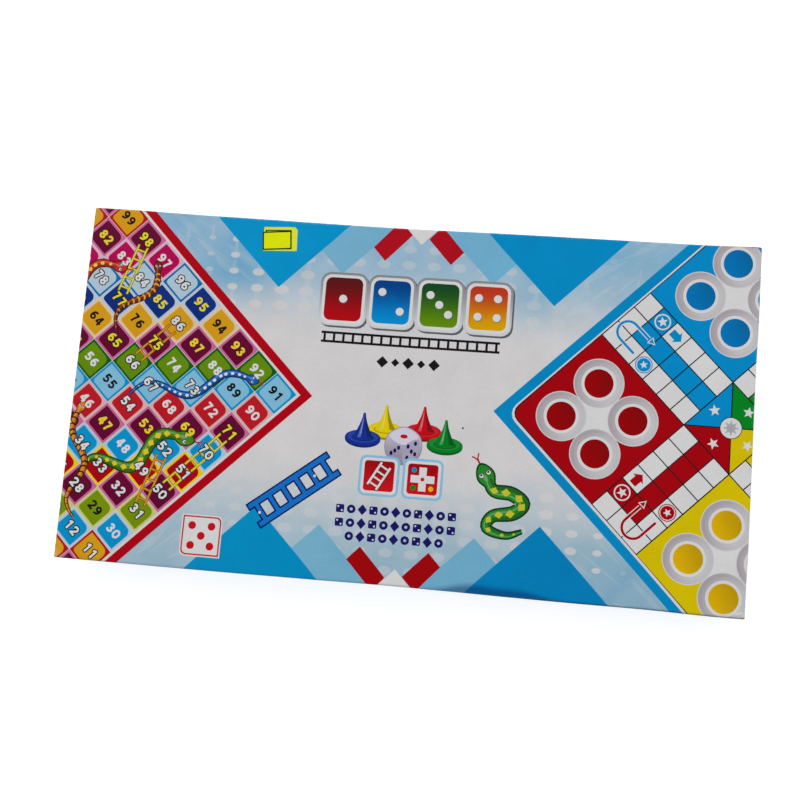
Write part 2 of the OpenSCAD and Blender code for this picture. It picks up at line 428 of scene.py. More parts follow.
def snakes_board(pen, margins):
    """The whole board, with its middle at the pen's origin. Margins are the inks of the bands round the
    grid, from the inside out, and how far past the grid each reaches."""
    half = CELLS * CELL / 2
    for ink, grow in reversed(margins):
        pen.fill(ink, rect(-half - grow, -half - grow, half + grow, half + grow))
    pen.fill(LINE_INK, rect(-half, -half, half, half))
    ring, tile, sharp = 0.985 * CELL / 2, 0.842 * CELL / 2, 0.03 * CELL
    radii = (0.11 * CELL, sharp, 0.2 * CELL, sharp)
    for value in range(1, CELLS * CELLS + 1):
        column, row = cell_of(value)
        tile_ink, ring_ink, _, _ = DIAGONALS[column + row]
        own = pen.at(*place_of(value))
        own.fill(ring_ink, rect(-ring, -ring, ring, ring))
        lit = mix(tile_ink, WHITE, 0.02)
        own.fill(fade(tile_ink, lit, -tile, tile), plate(tile, tile, radii))
    paths = []
    for foot, top, ladder_ink in LADDERS:
        lean = place_of(top) - place_of(foot)
        lean /= np.linalg.norm(lean)
        low, high = place_of(foot) + lean * 0.26 * CELL, place_of(top) - lean * 0.26 * CELL
        edge = mix(ladder_ink, BLACK, 0.6)
        ladder(pen, low, high, 0.32 * CELL, 0.34 * CELL, 0.055 * CELL, ladder_ink, edge)
        paths.append(curve([low, high], 24))
    for head, tail, body, edge, marks, mark_ink, width, waves, swing in SNAKES:
        line = winding(place_of(tail, -0.22, 0.24), place_of(head, 0.06, -0.34), waves, swing * CELL)
        snake(pen, line, width, body, edge, marks, mark_ink)
        paths.append(curve(line, 6))
    covered = np.concatenate(paths)
    for value in range(1, CELLS * CELLS + 1):
        column, row = cell_of(value)
        _, _, ink, halo = DIAGONALS[column + row]
        if np.linalg.norm(covered - place_of(value), axis=1).min() < 0.33 * CELL and halo is None:
            ink, halo = (ink if ink != BLACK else WHITE), BLACK
        number(pen.at(*place_of(value)), value, 0.33 * CELL, ink, halo)


# The ludo board, with its lower left corner at the pen's origin

YARD = 48.2
LANE = 8.633
STEP = YARD / 6
LUDO = 2 * YARD + 3 * LANE
LUDO_INKS = [(154, 0, 10), (0, 130, 190), (0, 124, 32), (202, 180, 0)]
DISC_INKS = [(146, 0, 4), (0, 112, 178), (0, 104, 26), (212, 168, 0)]
GRID_LINE = 0.46
YARD_CORNERS = (4.2, 0.1, 0.1, 0.1)
# How far a yard's four rings lie from its middle
RING_OFF = 10


def ludo_ring(pen, ink):
    """One pawn's place: a shaded grey ring, a white ring and a disc in a deep tone of the player's ink."""
    def shaded(near, far, aim, reach):
        """An ink that goes from near to far along a direction of the board."""
        return lambda p: mix(near, far, smooth((p @ pen.axes) @ aim, -reach, reach))

    pen.fill((197, 197, 199), disc(10.1, sides=44))
    pen.fill(shaded((160, 154, 159), (185, 183, 186), (1, -0.5), 9), disc(9.75, sides=44))
    pen.fill(shaded((167, 160, 165), (188, 187, 189), (1, -0.5), 9), disc(8.3, sides=40))
    pen.fill(WHITE, disc(7.0, sides=36))
    pen.fill(shaded(ink, mix(ink, BLACK, 0.17), (0.9, 0.4), 7), disc(5.8, sides=36))


def ludo_arm(pen, ink):
    """Three lanes of six cells, from the board's edge at Y 0 to the home square."""
    pen.fill(BLACK, rect(0, 0, 3 * LANE, YARD))
    inset = GRID_LINE / 2
    for lane in range(3):
        for step in range(6):
            own = ink if (lane == 1 and step) or (lane == 0 and step == 1) else WHITE
            pen.fill(own, rect(lane * LANE + inset, step * STEP + inset,
                               (lane + 1) * LANE - inset, (step + 1) * STEP - inset))
    safe = pen.at(0.5 * LANE, 1.5 * STEP)
    safe.ring(WHITE, 3.3, 2.75)
    safe.fill(WHITE, star(5, 2.2, 0.95))
    pen.at(0.5 * LANE, 2.5 * STEP).fill(ink, arrow(5.4, 5.6))
    far = pen.at(2.5 * LANE, 2.5 * STEP)
    far.ring(ink, 3.5, 3.1)
    far.fill(ink, disc(2.75))
    far.fill(WHITE, star(5, 1.7, 0.75))
    bend = [(2.5 * LANE, 1.75 * STEP), (2.5 * LANE, 0.95 * STEP)]
    bend += [(2 * LANE + LANE / 2 * math.cos(a), 0.75 * STEP + LANE / 2 * math.sin(-a))
             for a in np.radians(np.arange(10, 180, 20))]
    bend += [(1.5 * LANE, 0.95 * STEP), (1.5 * LANE, 1.7 * STEP)]
    line = curve(bend, 2)
    pen.line(WHITE, line, 1.7)
    tip = pen.at(1.5 * LANE, 1.95 * STEP)
    tip.fill(WHITE, [(-1.7, -1.5), (1.7, -1.5), (0, 1.5)])
    pen.line(ink, line, 1.0)
    tip.fill(ink, [(-1.05, -1.15), (1.05, -1.15), (0, 0.8)])


def ludo_board(pen, margins):
    """The whole board. Margins are the bands round it, each with its ink, its widths along X and Y and its
    corner radius."""
    for ink, wide, high, corner in reversed(margins):
        pen.fill(ink, rounded(-wide, -high, LUDO + wide, LUDO + high, corner))
    pen.fill(BLACK, rounded(-0.4, -0.4, LUDO + 0.4, LUDO + 0.4, 4.5))
    centre, far, line = LUDO / 2, YARD + 3 * LANE, GRID_LINE / 2
    low, high = YARD / 2 - RING_OFF, YARD / 2 + RING_OFF
    for k, ink in enumerate(LUDO_INKS):
        own = pen.at(centre, centre, turn=-90 * k).at(-centre, -centre)
        own.fill(BLACK, rounded(0, 0, YARD + line, YARD + line, YARD_CORNERS))
        own.fill(ink, rounded(0.1, 0.1, YARD - line, YARD - line, YARD_CORNERS))
        own.fill(WHITE, rect(low, low, high, high))
        for x in (low, high):
            for y in (low, high):
                ludo_ring(own.at(x, y), DISC_INKS[k])
        ludo_arm(own.at(YARD, 0), ink)
        own.fill(BLACK, [(YARD, YARD), (far, YARD), (centre, centre)])
        own.fill(ink, [(YARD + 0.6, YARD + line), (far - 0.6, YARD + line), (centre, centre - 0.3)])
        own.at(centre, YARD + 3.6).fill(WHITE, star(5, 2.4, 1.0))
    middle = pen.at(centre, centre)
    middle.fill(BLACK, disc(4.4))
    middle.fill(WHITE, disc(4.1))
    middle.fill(SILVER, star(8, 3.2, 1.5))


# The lid's print

BOARD_X, BOARD_Y = -131.7, 0.4
LUDO_X, LUDO_Y = 43.0, -0.35
# How far a print runs past what shows of it
OVERLAP = 2
SPARE = 40


# Deepest tones of the pale blue ground: rear left, rear right, front left and front right
GROUND_INKS = ((124, 167, 197), (125, 169, 197), (145, 174, 191), (121, 162, 185))


def between(inks, x, y):
    """An ink between those of the four corners of the lid, for arrays of places."""
    to_right, to_front = smooth(x, -75, 75), smooth(-y, -40, 40)
    rear, front = mix(inks[0], inks[1], to_right), mix(inks[2], inks[3], to_right)
    return mix(rear, front, to_front)


DEEP_INK = (100, 157, 192)
# Clouds in the ground: their middles, how far they reach and how strong they are. Those below 0 are pale.
CLOUDS = ((-75, 51, 16, 9, 0.85), (48, 47, 9, 9, 0.4), (-88, 69, 14, 5, -0.12), (52, -33, 10, 5, 0.14),
          (46, -54, 8, 6, -0.35), (30, -52, 7, 5, -0.25))


def ground(p):
    """Greyish white along the middle of the lid, and a clouded pale blue towards its long edges."""
    x, y = p[:, 0], p[:, 1]
    blue = smooth(np.abs(y), 24, 67) * (0.86 + 0.14 * smooth(np.abs(x), 30, 78))
    streak = (np.sin(x * 0.21 + 1.3 * np.sin(y * 0.13)) + np.sin(y * 0.31 + x * 0.11)
              + np.sin(x * 0.47 - y * 0.36 + 2)) / 3
    tone = mix(PAPER, mix(between(GROUND_INKS, x, y), PAPER, 0.08 + 0.15 * streak), blue)
    for cloud_x, cloud_y, wide, high, strength in CLOUDS:
        deep = np.exp(-((x - cloud_x) / wide) ** 2 - ((y - cloud_y) / high) ** 2)
        tone = mix(tone, DEEP_INK if strength > 0 else PAPER, abs(strength) * deep)
    return tone


BEAM_START = (122.0, 88.0)
BEAMS_A_CORNER = 26


def beams(pen):
    """Soft light streaks that fan out over the ground from the lid's four corners."""
    draw = np.random.default_rng(5)
    for side in (-1, 1):
        for up in (-1, 1):
            for _ in range(BEAMS_A_CORNER):
                turn = math.radians(draw.uniform(8, 66))
                start, length = draw.uniform(14, 66), draw.uniform(8, 26)
                aim = np.array([-side * math.cos(turn), -up * math.sin(turn)])
                first = np.array([side, up]) * BEAM_START + aim * start
                width, strength = draw.uniform(0.8, 3.2), draw.uniform(0.08, 0.24)
                line = curve([first, first + aim * length / 2, first + aim * length], 4)
                tone = lambda p, s=strength: mix(ground(p), PAPER, s)
                pen.line(tone, line, width * np.sin(np.linspace(0.15, math.pi - 0.1, len(line))))


DOT_PITCH = (10.4, 6.75)
DOT_X = 17.9
DOT_REAR, DOT_FRONT = 30.3, -33.3
DOT_INK = (201, 198, 199)


def dots(pen):
    """Soft white ovals in columns and rows, smaller towards the ends and the long edges of the lid. Some at
    the rear trail a faint streak."""
    draw = np.random.default_rng(8)
    for column in range(-11, 8):
        x = DOT_X + DOT_PITCH[0] * column
        for first, up in ((DOT_REAR, 1), (DOT_FRONT, -1)):
            clear = 0.42 + 0.42 * smooth(-x, 36, 60) - 0.26 * smooth(x, 44, 70)
            if up < 0:
                clear = 0.42 + 0.4 * smooth(x, 44, 66)
            clear *= 1 - 0.75 * smooth(abs(x), 80, 92)
            for row in range(6 if up > 0 or x < 75 else 5):
                y = first + up * DOT_PITCH[1] * row
                size = np.clip(1 - (abs(x) - 54) / 72, 0.35, 1) * (1 - 0.04 * row)
                own = pen.at(x, y)
                if up > 0 and draw.uniform() < 0.4:
                    length, lean = draw.uniform(4, 8), draw.uniform(-0.6, 1.0)
                    line = [(0, 0), (lean * 0.4, length * 0.5), (lean, length)]
                    for wide, share in ((1.0, 0.14), (0.72, 0.28)):
                        tone = lambda p, c=(x, y), s=share: mix(ground(p + c), DOT_INK, s)
                        own.fill(tone, ribbon(line, np.array([3.4, 2.9, 2.2]) * size * wide))
                for wide, share in ((1.12, 0.3), (1.0, 0.72), (0.9, 1.0)):
                    tone = lambda p, c=(x, y), s=share * clear: mix(ground(p + c), DOT_INK, s)
                    own.fill(tone, disc(wide * 3.3 * size, wide * 2.15 * size, sides=20))


# Inks that drift over the lid, at the same four corners as the ground
PALE_INKS = ((114, 168, 196), (106, 168, 200), (115, 167, 193), (104, 163, 193))
BRIGHT_INKS = ((0, 140, 194), (0, 131, 187), (0, 135, 185), (0, 120, 177))
BAR_INKS = ((166, 10, 26), (164, 8, 26), (153, 2, 6), (150, 0, 6))
# Red bars across the long edges, two at the rear and two at the front
BARS = ([(-18.1, 64.05), (-13.0, 58.6), (-2.35, 69.9), (-7.6, 75.5)],
        [(4.55, 68.7), (14.2, 58.5), (19.3, 64.05), (9.8, 74.1)],
        [(-18.3, -64.05), (-13.2, -58.6), (-2.35, -69.9), (-7.2, -75.2)],
        [(4.45, -69.05), (14.3, -58.85), (19.4, -64.15), (9.9, -74.4)])
# Triangles that hang from the long edges: X and Y of the tip, and 1 at the rear or -1 at the front
PALE_WEDGES = ((-30.2, 52.0, 1), (31.9, 51.4, 1), (-30.4, 51.2, -1), (31.9, 51.6, -1))
BRIGHT_WEDGES = ((-56.3, 44.7, 1), (57.3, 44.1, 1), (-56.5, 45.7, -1), (57.4, 44.9, -1))
WHITE_WEDGES = ((1.5, 66.2, 1), (1.5, 66.4, -1))
# Tones of each tile in the rear row at its top and its foot, and the X and Y of the first with their pitch
TILE_TONES = (((84, 18, 20), (172, 4, 16)), ((0, 60, 128), (0, 134, 200)),
              ((16, 66, 30), (92, 134, 6)), ((178, 48, 28), (206, 156, 0)))
TILE_X, TILE_Y, TILE_PITCH = -28.8, 41.4, 19.85
# The pictured pawns, the rear ones first: where the brim's middle is, and the ink
PICTURED = ((-7.5, 4.2, YELLOW), (8.0, 4.6, (186, 8, 20)), (-16.3, 0.4, (16, 44, 140)), (17.0, -0.2, GREEN))
RESTING_SNAKE = [(50.5, -47.5), (44.0, -49.6), (36.5, -47.2), (38.5, -42.4), (46.5, -40.6), (50.2, -36.6),
                 (45.5, -33.0), (38.5, -32.2), (35.6, -28.0)]
# Where the picture, the emblem under it and the square with five spots have their middles
PICTURE_AT, EMBLEM_AT, BADGE_AT = (0.4, -15.5), (0.4, -30.0), (-78, -59.7)
# The square's layers: their inks, half widths and two corner radii
BADGE = ((WHITE, 8.4, 2.4, 0.3), ((186, 44, 48), 7.9, 2.1, 0.2), (WHITE, 7.3, 1.7, 0.2))
# A reddish line along the right end of the rear fold, and a pale scuff at the front right corner
REDDISH_FOLD = [(125, TOP_Y + 0.2), (SIDE_X, TOP_Y - 0.5), (SIDE_X, TOP_Y + 0.6), (125, TOP_Y + 0.6)]
SCUFF = [(133.6, -72.4), (135.4, -71.7), (137.0, -71.5), (136.2, -72.2)]


def shade_of(inks):
    return lambda p: between(inks, p[:, 0], p[:, 1])


def triangle_down(pen, ink, x, tip, up, half):
    """A triangle with its base on the lid's long edge and its sides at 45 degrees."""
    pen.fill(ink, [(x - half, up * (tip + half)), (x + half, up * (tip + half)), (x, up * tip)])


def title_tile(pen, count, dark, bright):
    """A rounded tile with a silver rim, a white border and a die's spots."""
    pen.at(0.7, -0.8).fill((88, 90, 94), plate(9.9, 11.2, 4.2))
    pen.fill(fade((196, 198, 202), (130, 132, 138), -11, 11), plate(9.9, 11.2, 4.2))
    pen.fill(WHITE, plate(8.9, 10.2, 3.4))
    pen.fill(fade(bright, dark, -9, 9.5), plate(7.7, 9.0, 2.6))
    pips(pen, count, 3.9, 1.75, (90, 92, 96))
    pips(pen.at(-0.15, 0.2), count, 3.9, 1.65, WHITE)


def pawn_picture(pen, ink):
    """A pawn seen from a little above, 15 wide, with its brim's middle at the pen's origin."""
    dark, light = mix(ink, BLACK, 0.35), mix(ink, WHITE, 0.35)
    pen.fill(dark, disc(7.3, 3.5, y=-0.5))
    pen.fill(ink, disc(7.3, 3.2, y=0.1))
    pen.fill(mix(ink, WHITE, 0.12), disc(6.3, 2.5, y=0.5))
    pen.fill(dark, disc(4.6, 1.6, y=0.2))
    t = np.linspace(0, 1, 9)
    r = 0.55 + 3.7 * (1 - t) ** 1.5
    right = np.stack([r, 0.2 + 9.6 * t], 1)
    foot = [(4.2 * math.cos(a), 0.2 + 1.3 * math.sin(a)) for a in np.radians(np.arange(-160, 0, 20))]
    tip = [(0.55 * math.cos(a), 9.8 + 0.55 * math.sin(a)) for a in np.radians(np.arange(30, 180, 30))]
    pen.fill(ink, np.concatenate([right, tip, (right * (-1, 1))[::-1], foot]))
    pen.fill(dark, np.concatenate([right * (0.98, 1), (right * (0.42, 1))[::-1]]))
    pen.fill(light, np.concatenate([right * (-0.2, 1), (right * (-0.52, 1))[::-1]]))
    pen.fill(mix(ink, WHITE, 0.6), ribbon([(-0.95, 1.6), (-0.5, 5.4), (-0.3, 7.6)], [0.5, 0.34, 0.2]))


PICTURE_PIP = (26, 18, 78)


def die_picture(pen, s):
    """A rounded die seen from above one corner, with s from its middle to its corners."""
    hexagon = np.array([(0, -1), (0.87, -0.5), (0.87, 0.5), (0, 1), (-0.87, 0.5), (-0.87, -0.5)]) * s
    body = curve(hexagon, 5, closed=True)
    pen.fill((112, 108, 132), body * 1.03)
    pen.fill(fade((138, 132, 152), (188, 184, 200), -s, s), body)
    top = curve(np.array([(0, 0.02), (0.8, 0.5), (0, 0.95), (-0.8, 0.5)]) * s, 4, closed=True)
    pen.fill((200, 196, 212), top * 0.97 + (0, 0.02 * s))
    right = curve(np.array([(0.06, -0.02), (0.82, 0.4), (0.78, -0.5), (0.05, -0.92)]) * s, 4, closed=True)
    pen.fill((160, 154, 174), right * 0.97)
    for x, y in ((0.26, -0.02), (0.64, 0.16), (0.45, -0.27), (0.24, -0.62), (0.64, -0.4)):
        pen.fill(PICTURE_PIP, disc(0.085 * s, 0.12 * s, x * s, y * s, 14))
    for x, y in ((-0.24, -0.06), (-0.62, -0.36), (-0.43, -0.22)):
        pen.fill(PICTURE_PIP, disc(0.085 * s, 0.12 * s, x * s, (y - 0.06) * s, 14))
    pen.fill((176, 20, 26), disc(0.2 * s, 0.11 * s, 0, 0.5 * s, 18))


EMBLEM_RED = (190, 14, 26)


def emblem(pen):
    """Two red tiles with white and light blue outlines, one with a ladder and one with a cross of lanes."""
    for x in (-8.4, 9.2):
        pen.fill((126, 180, 212), rounded(x - 8.2, -8.2, x + 8.2, 8.2, 2.6))
        pen.fill(WHITE, rounded(x - 7.2, -7.2, x + 7.2, 7.2, 1.9))
        pen.fill(fade(EMBLEM_RED, (150, 4, 16), -6, 6), rounded(x - 6.1, -6.1, x + 6.1, 6.1, 1.2))
    ladder(pen.at(-8.4, 0), (-2.6, -4.6), (2.6, 4.6), 4.2, 2.5, 0.9, WHITE, (110, 0, 10))
    cross = pen.at(9.2, 0)
    for turn in (0, 90):
        cross.at(0, 0, turn).fill(WHITE, rect(-1.5, -4.8, 1.5, 4.8))
    for k, ink in enumerate(LUDO_INKS):
        cross.at(0, 0, 90 * k).fill(ink, disc(1.05, x=3.6, y=3.6, sides=16))
    cross.fill(EMBLEM_RED, disc(0.8, sides=16))


def rules(pen):
    """A black rule like a ladder laid flat, and a row of diamonds under it."""
    y0, y1, x0, x1 = 23.0, 27.8, -36.6, 36.6
    for y in (y0 + 0.55, y1 - 0.55):
        pen.fill(BLACK, rect(x0, y - 0.5, x1, y + 0.5))
    for x in np.linspace(x0 + 1.4, x1 - 1.4, 19):
        pen.fill(BLACK, rect(x - 0.5, y0 + 0.6, x + 0.5, y1 - 0.6))
    for k in range(5):
        size = 2.4 if k % 2 == 0 else 1.7
        pen.at(5.3 * (k - 2), 16.5).fill(BLACK, star(2, size, size))


ROW_PITCH = 4.5
# The height of each row of ornaments and half its length
NAVY_ROWS = ((-44, 26.5), (-49.5, 23.5), (-54.8, 21.5))


def navy_rows(pen):
    """Three rows of small navy ornaments, shorter towards the front edge: diamonds, discs and dice."""
    for y, half in NAVY_ROWS:
        count = int(2 * half // ROW_PITCH) | 1
        for k in range(count):
            own = pen.at((k - (count - 1) / 2) * ROW_PITCH, y)
            kind = abs(k - count // 2) % 3
            if kind == 0:
                own.fill(NAVY, [(-1.9, 0), (0, -2.2), (1.9, 0), (0, 2.2)])
            elif kind == 1:
                own.fill(NAVY, disc(1.75, sides=22), disc(0.6, sides=14))
            else:
                own.fill(NAVY, plate(1.65, 1.65, 0.5, 2))
                pips(own, 2, 0.75, 0.38, PAPER)


def lid_top(pen):
    pen.fill(ground, rect(-SIDE_X - SPARE, -TOP_Y - SPARE, SIDE_X + SPARE, TOP_Y + SPARE))
    beams(pen)
    dots(pen)
    wedges = ((shade_of(PALE_INKS), PALE_WEDGES, 24), (shade_of(BRIGHT_INKS), BRIGHT_WEDGES, 31),
              (WHITE, WHITE_WEDGES, 10))
    for ink, places, half in wedges:
        for x, tip, up in places:
            triangle_down(pen, ink, x, tip, up, half)
    for bar in BARS:
        pen.fill(shade_of(BAR_INKS), bar)
    for k, (dark, bright) in enumerate(TILE_TONES):
        title_tile(pen.at(TILE_X + TILE_PITCH * k, TILE_Y), k + 1, dark, bright)
    rules(pen)
    picture = pen.at(*PICTURE_AT)
    for x, y, ink in PICTURED:
        pawn_picture(picture.at(x, y), ink)
    die_picture(picture.at(0.4, -1.6), 7.6)
    emblem(pen.at(*EMBLEM_AT))
    navy_rows(pen)
    ladder(pen, (-57, -50), (-27, -26.5), 8.5, 6.2, 1.9, (20, 104, 186), (8, 22, 90))
    for k in range(5):
        pips(pen.at(-55 + 7.0 * k, -48.4 + 5.48 * k), 1, 1, 0.55, WHITE)
    snake(pen, RESTING_SNAKE, 4.6, (36, 126, 36), (10, 50, 18), "diamonds", (186, 180, 40))
    pen.fill(BLACK, disc(0.35, 0.5, 24.2, -8.2, 8))
    snakes_board(pen.at(BOARD_X, BOARD_Y, turn=-45), [(PAPER, 1.05), (RED, 4.55)])
    ludo_margins = [(PAPER, 1.05, 1.44, 5.0), (BLUE, 5.05, 5.05, 0.2)]
    ludo_board(pen.at(LUDO_X, LUDO_Y, turn=-45), ludo_margins)
    pen.fill((172, 74, 92), REDDISH_FOLD)
    pen.fill((214, 213, 212), curve(SCUFF, 4, closed=True))
    badge = pen.at(*BADGE_AT)
    for ink, half, wide, sharp in BADGE:
        badge.fill(ink, plate(half, half, (wide, sharp, wide, sharp)))
    pips(badge, 5, 4.0, 1.6, (184, 14, 26))


# The walls' print, by its depth below the fold: a pale blue ground, a white line and a blue band. Then come
# the tiles' middle depth, pitch and half width, and the red panel's two depths.
WALL_GROUND = ((132, 172, 204), (168, 190, 210))
WALL_TOP, WALL_LINE, WALL_BAND = 0.9, 17.6, 18.5
TILES_AT, WALL_PITCH, WALL_TILE = 9.4, 11.4, 4.3
PANEL_TOP, PANEL_FOOT = 0.6, 16.8


def wall_strip(pen, length, red_end=0.0):
    """The print of one wall: X runs along it, and Y is the depth below the fold, from 0 to the cut edge.
    Where a red panel is asked for, it runs from there to the wall's end."""
    depth = LID_WALL + OVERLAP
    half = length / 2 + OVERLAP
    pen.fill(fade(*WALL_GROUND, 0, depth), rect(-half, WALL_TOP, half, depth))
    pen.fill(BLUE, rect(-half, WALL_BAND, half, depth))
    pen.fill(PAPER, rect(-half, WALL_LINE, half, WALL_BAND))
    count = int((length - 60) / WALL_PITCH)
    if red_end:
        pen.fill((178, 36, 46), rect(red_end, PANEL_TOP, half, PANEL_FOOT))
        count -= 1
        pen = pen.at(-WALL_PITCH / 2, 0)
    for k in range(count):
        tile_ink, ring_ink, _, _ = DIAGONALS[(3 * k + 4) % len(DIAGONALS)]
        own = pen.at((k - (count - 1) / 2) * WALL_PITCH, TILES_AT)
        own.fill(ring_ink, plate(WALL_TILE + 0.6, WALL_TILE + 0.6, 0.4, 1))
        own.fill(tile_ink, plate(WALL_TILE, WALL_TILE, (1.8, 0.4, 1.8, 0.4)))
        pips(own, k % 6 + 1, 2.1, 0.72, BLACK if sum(tile_ink) > 420 else WHITE)
    for side, ink in zip((-1, 1), LUDO_INKS):
        own = pen.at(side * (count * WALL_PITCH / 2 + 9), TILES_AT)
        own.fill(WHITE, disc(5.4))
        own.fill(ink, disc(4.4))
        own.fill(WHITE, star(5, 3.2, 1.4))


# Folded card: the flat blank's places in the shut box

FOLD = 0.7
QUARTER = FOLD * math.pi / 2
# The corner flaps' length and how far their corners are trimmed
FLAP_L, FLAP_TRIM = 22, 3
# Where the mesh of a blank has lines beside a long fold, from the fold
BESIDE_FOLD = (-3.2, -2.5, -1.8, -1.2, 0.9, 1.4, 1.9, 2.6, 3.3)


def fold_lines(half):
    """Where the mesh of a blank has lines over a fold."""
    return [half - FOLD + QUARTER * k / 4 for k in range(5)]


def folded(run, half):
    """For distances along the blank from its middle: how far out, the drop past the fold and the slope."""
    side = np.sign(run)
    over = np.clip(np.abs(run) - (half - FOLD), 0, None)
    angle = np.minimum(over / FOLD, math.pi / 2)
    out = np.minimum(np.abs(run), half - FOLD) + FOLD * np.sin(angle)
    drop = FOLD * (1 - np.cos(angle)) + np.clip(over - QUARTER, 0, None)
    return side * out, drop, side * angle


class Blank:
    """A card box folded from one flat blank, with the long walls' corner flaps inside the short walls."""

    def __init__(self, half_x, half_y, wall, top, down, bend):
        self.half = np.array([half_x, half_y])
        self.top, self.down, self.bend = top, down, bend
        self.flap_half = half_x - CARD
        self.end = self.half - FOLD + QUARTER + wall - FOLD

    def form(self, flat, depth):
        """Places in the box of points of the blank, at a depth under the print."""
        (hx, hy), u, v = self.half, flat[:, 0], flat[:, 1]
        x, drop_x, slope_x = folded(u, hx)
        y, drop_y, slope_y = folded(v, hy)
        past = np.clip(np.abs(v) - (hy - FOLD + QUARTER), 0, None)
        on_wall = smooth(past, 0, 1.5) * (np.abs(u) < self.end[0])
        fx, flap_in, flap_turn = folded(u, self.flap_half)
        x = np.where(past > 0, x * (1 - on_wall) + fx * on_wall, x)
        drop_x = np.where(past > 0, drop_x * (1 - on_wall), drop_x)
        y = y - np.sign(v) * flap_in * on_wall
        n = np.stack([np.sin(slope_x) * np.cos(slope_y), np.sin(slope_y) * np.cos(slope_x),
                      np.cos(slope_x) * np.cos(slope_y)], 1)
        turned = np.stack([np.sin(flap_turn), np.sign(v) * np.cos(flap_turn), 0 * u], 1)
        n = np.where(on_wall[:, None] > 0, n * (1 - on_wall[:, None]) + turned * on_wall[:, None], n)
        n /= np.linalg.norm(n, axis=1)[:, None] + 1e-9
        place = np.stack([x, y, -drop_x - drop_y], 1) - n * depth
        place = place + self.bend(place)
        place[:, 2] = self.top + (place[:, 2] if self.down else -place[:, 2])
        return place

    def outline(self):
        """The blank's edge, anticlockwise, with corners cut for level rims and the flaps' trimmed ones."""
        (hx, hy), (ex, ey) = self.half, self.end
        limit = self.flap_half - (hx - FOLD)
        stop = hx - FOLD + FOLD * math.asin(limit / FOLD)
        turn = np.radians([0, 15, 30, 45])
        side = [(ex - FOLD * (1 - math.cos(a)), hy - FOLD + FOLD * a) for a in turn]
        start = hy - FOLD + QUARTER + 1.5
        flap_end = self.flap_half - FOLD + QUARTER + FLAP_L - FOLD
        trim = FLAP_TRIM
        corner = [(stop, side[-1][1]), (stop, start), (flap_end - trim, start), (flap_end, start + trim),
                  (flap_end, ey - trim), (flap_end - trim, ey), (0, ey)]
        quarter = side + corner
        half = quarter + [(-x, y) for x, y in quarter[-2::-1]]
        return np.array(half + [(x, -y) for x, y in half[::-1]])

    def lines(self):
        """Lines that the mesh follows: close together at the folds, and loosely elsewhere."""
        (hx, hy), (ex, ey) = self.half, self.end
        at_x = fold_lines(hx) + list(np.arange(9.0, hx - 1, 9.0)) + fold_lines(self.flap_half)
        at_y = fold_lines(hy) + list(np.arange(8.0, hy - 5, 8.0)) + [hy + y for y in BESIDE_FOLD]
        past_y, past_x = ey + 1, ex + FLAP_L + OVERLAP
        found = [((s * x, -past_y), (s * x, past_y)) for x in at_x for s in (-1, 1)]
        return found + [((-past_x, s * y), (past_x, s * y)) for y in at_y for s in (-1, 1)]


# Meshes from flat shapes

def inside(places, contours):
    """Which places lie in the contours, by the even and odd rule."""
    found = np.zeros(len(places), bool)
    x, y = places[:, 0:1], places[:, 1:2]
    for c in contours:
        (ax, ay), (bx, by) = c.T, np.roll(c, -1, 0).T
        crossing = (ay > y) != (by > y)
        slope = (bx - ax) / np.where(by == ay, 1.0, by - ay)
        found ^= np.count_nonzero(crossing & (x < ax + (y - ay) * slope), axis=1) % 2 == 1
    return found


def partition(shapes, outline, lines):
    """Cuts the outline into triangles that each lie in one top shape. Returns the places, the triangles and
    the ink of each triangle's corners."""
    low, high = outline.min(0), outline.max(0)
    reach = [(np.min([c.min(0) for c in contours], 0), np.max([c.max(0) for c in contours], 0))
             for _, contours in shapes]
    near = [k for k, (a, b) in enumerate(reach)
            if b[0] > low[0] and b[1] > low[1] and a[0] < high[0] and a[1] < high[1]]
    loops = [outline] + [c for k in near for c in shapes[k][1]]
    points, edges = [], []
    for c in loops:
        n = len(points)
        edges += [(n + i, n + (i + 1) % len(c)) for i in range(len(c))]
        points += c.tolist()
    for a, b in lines:
        edges.append((len(points), len(points) + 1))
        points += [a, b]
    found = delaunay_2d_cdt([Vector(p) for p in points], edges, [], 0, 1e-5)
    flat, triangles = np.array([tuple(p) for p in found[0]]), np.array(found[2])
    middles = flat[triangles].mean(1)
    kept = inside(middles, [outline])
    triangles, middles = triangles[kept], middles[kept]
    used = np.unique(triangles)
    renumber = np.zeros(len(flat), int)
    renumber[used] = np.arange(len(used))
    flat, triangles = flat[used], renumber[triangles]
    order = np.argsort(middles[:, 0])
    triangles, middles = triangles[order], middles[order]
    tops = np.full(len(triangles), -1)
    for k in near:
        a, b = reach[k]
        start, stop = np.searchsorted(middles[:, 0], (a[0], b[0]))
        maybe = start + np.flatnonzero((middles[start:stop, 1] > a[1]) & (middles[start:stop, 1] < b[1]))
        tops[maybe[inside(middles[maybe], shapes[k][1])]] = k
    inks = np.tile(np.asarray(PAPER, float), (len(triangles), 3, 1))
    for k in np.unique(tops[tops >= 0]):
        mine = tops == k
        ink = shapes[k][0]
        if callable(ink):
            inks[mine] = np.reshape(ink(flat[triangles[mine].ravel()]), (-1, 3, 3))
        else:
            inks[mine] = np.asarray(ink, float)
    return flat, triangles, inks


def rim_of(triangles):
    """The edges that only one triangle has, in that triangle's direction."""
    edges = np.concatenate([triangles[:, [0, 1]], triangles[:, [1, 2]], triangles[:, [2, 0]]])
    count = triangles.max() + 1
    return edges[~np.isin(edges[:, 0] * count + edges[:, 1], edges[:, 1] * count + edges[:, 0])]


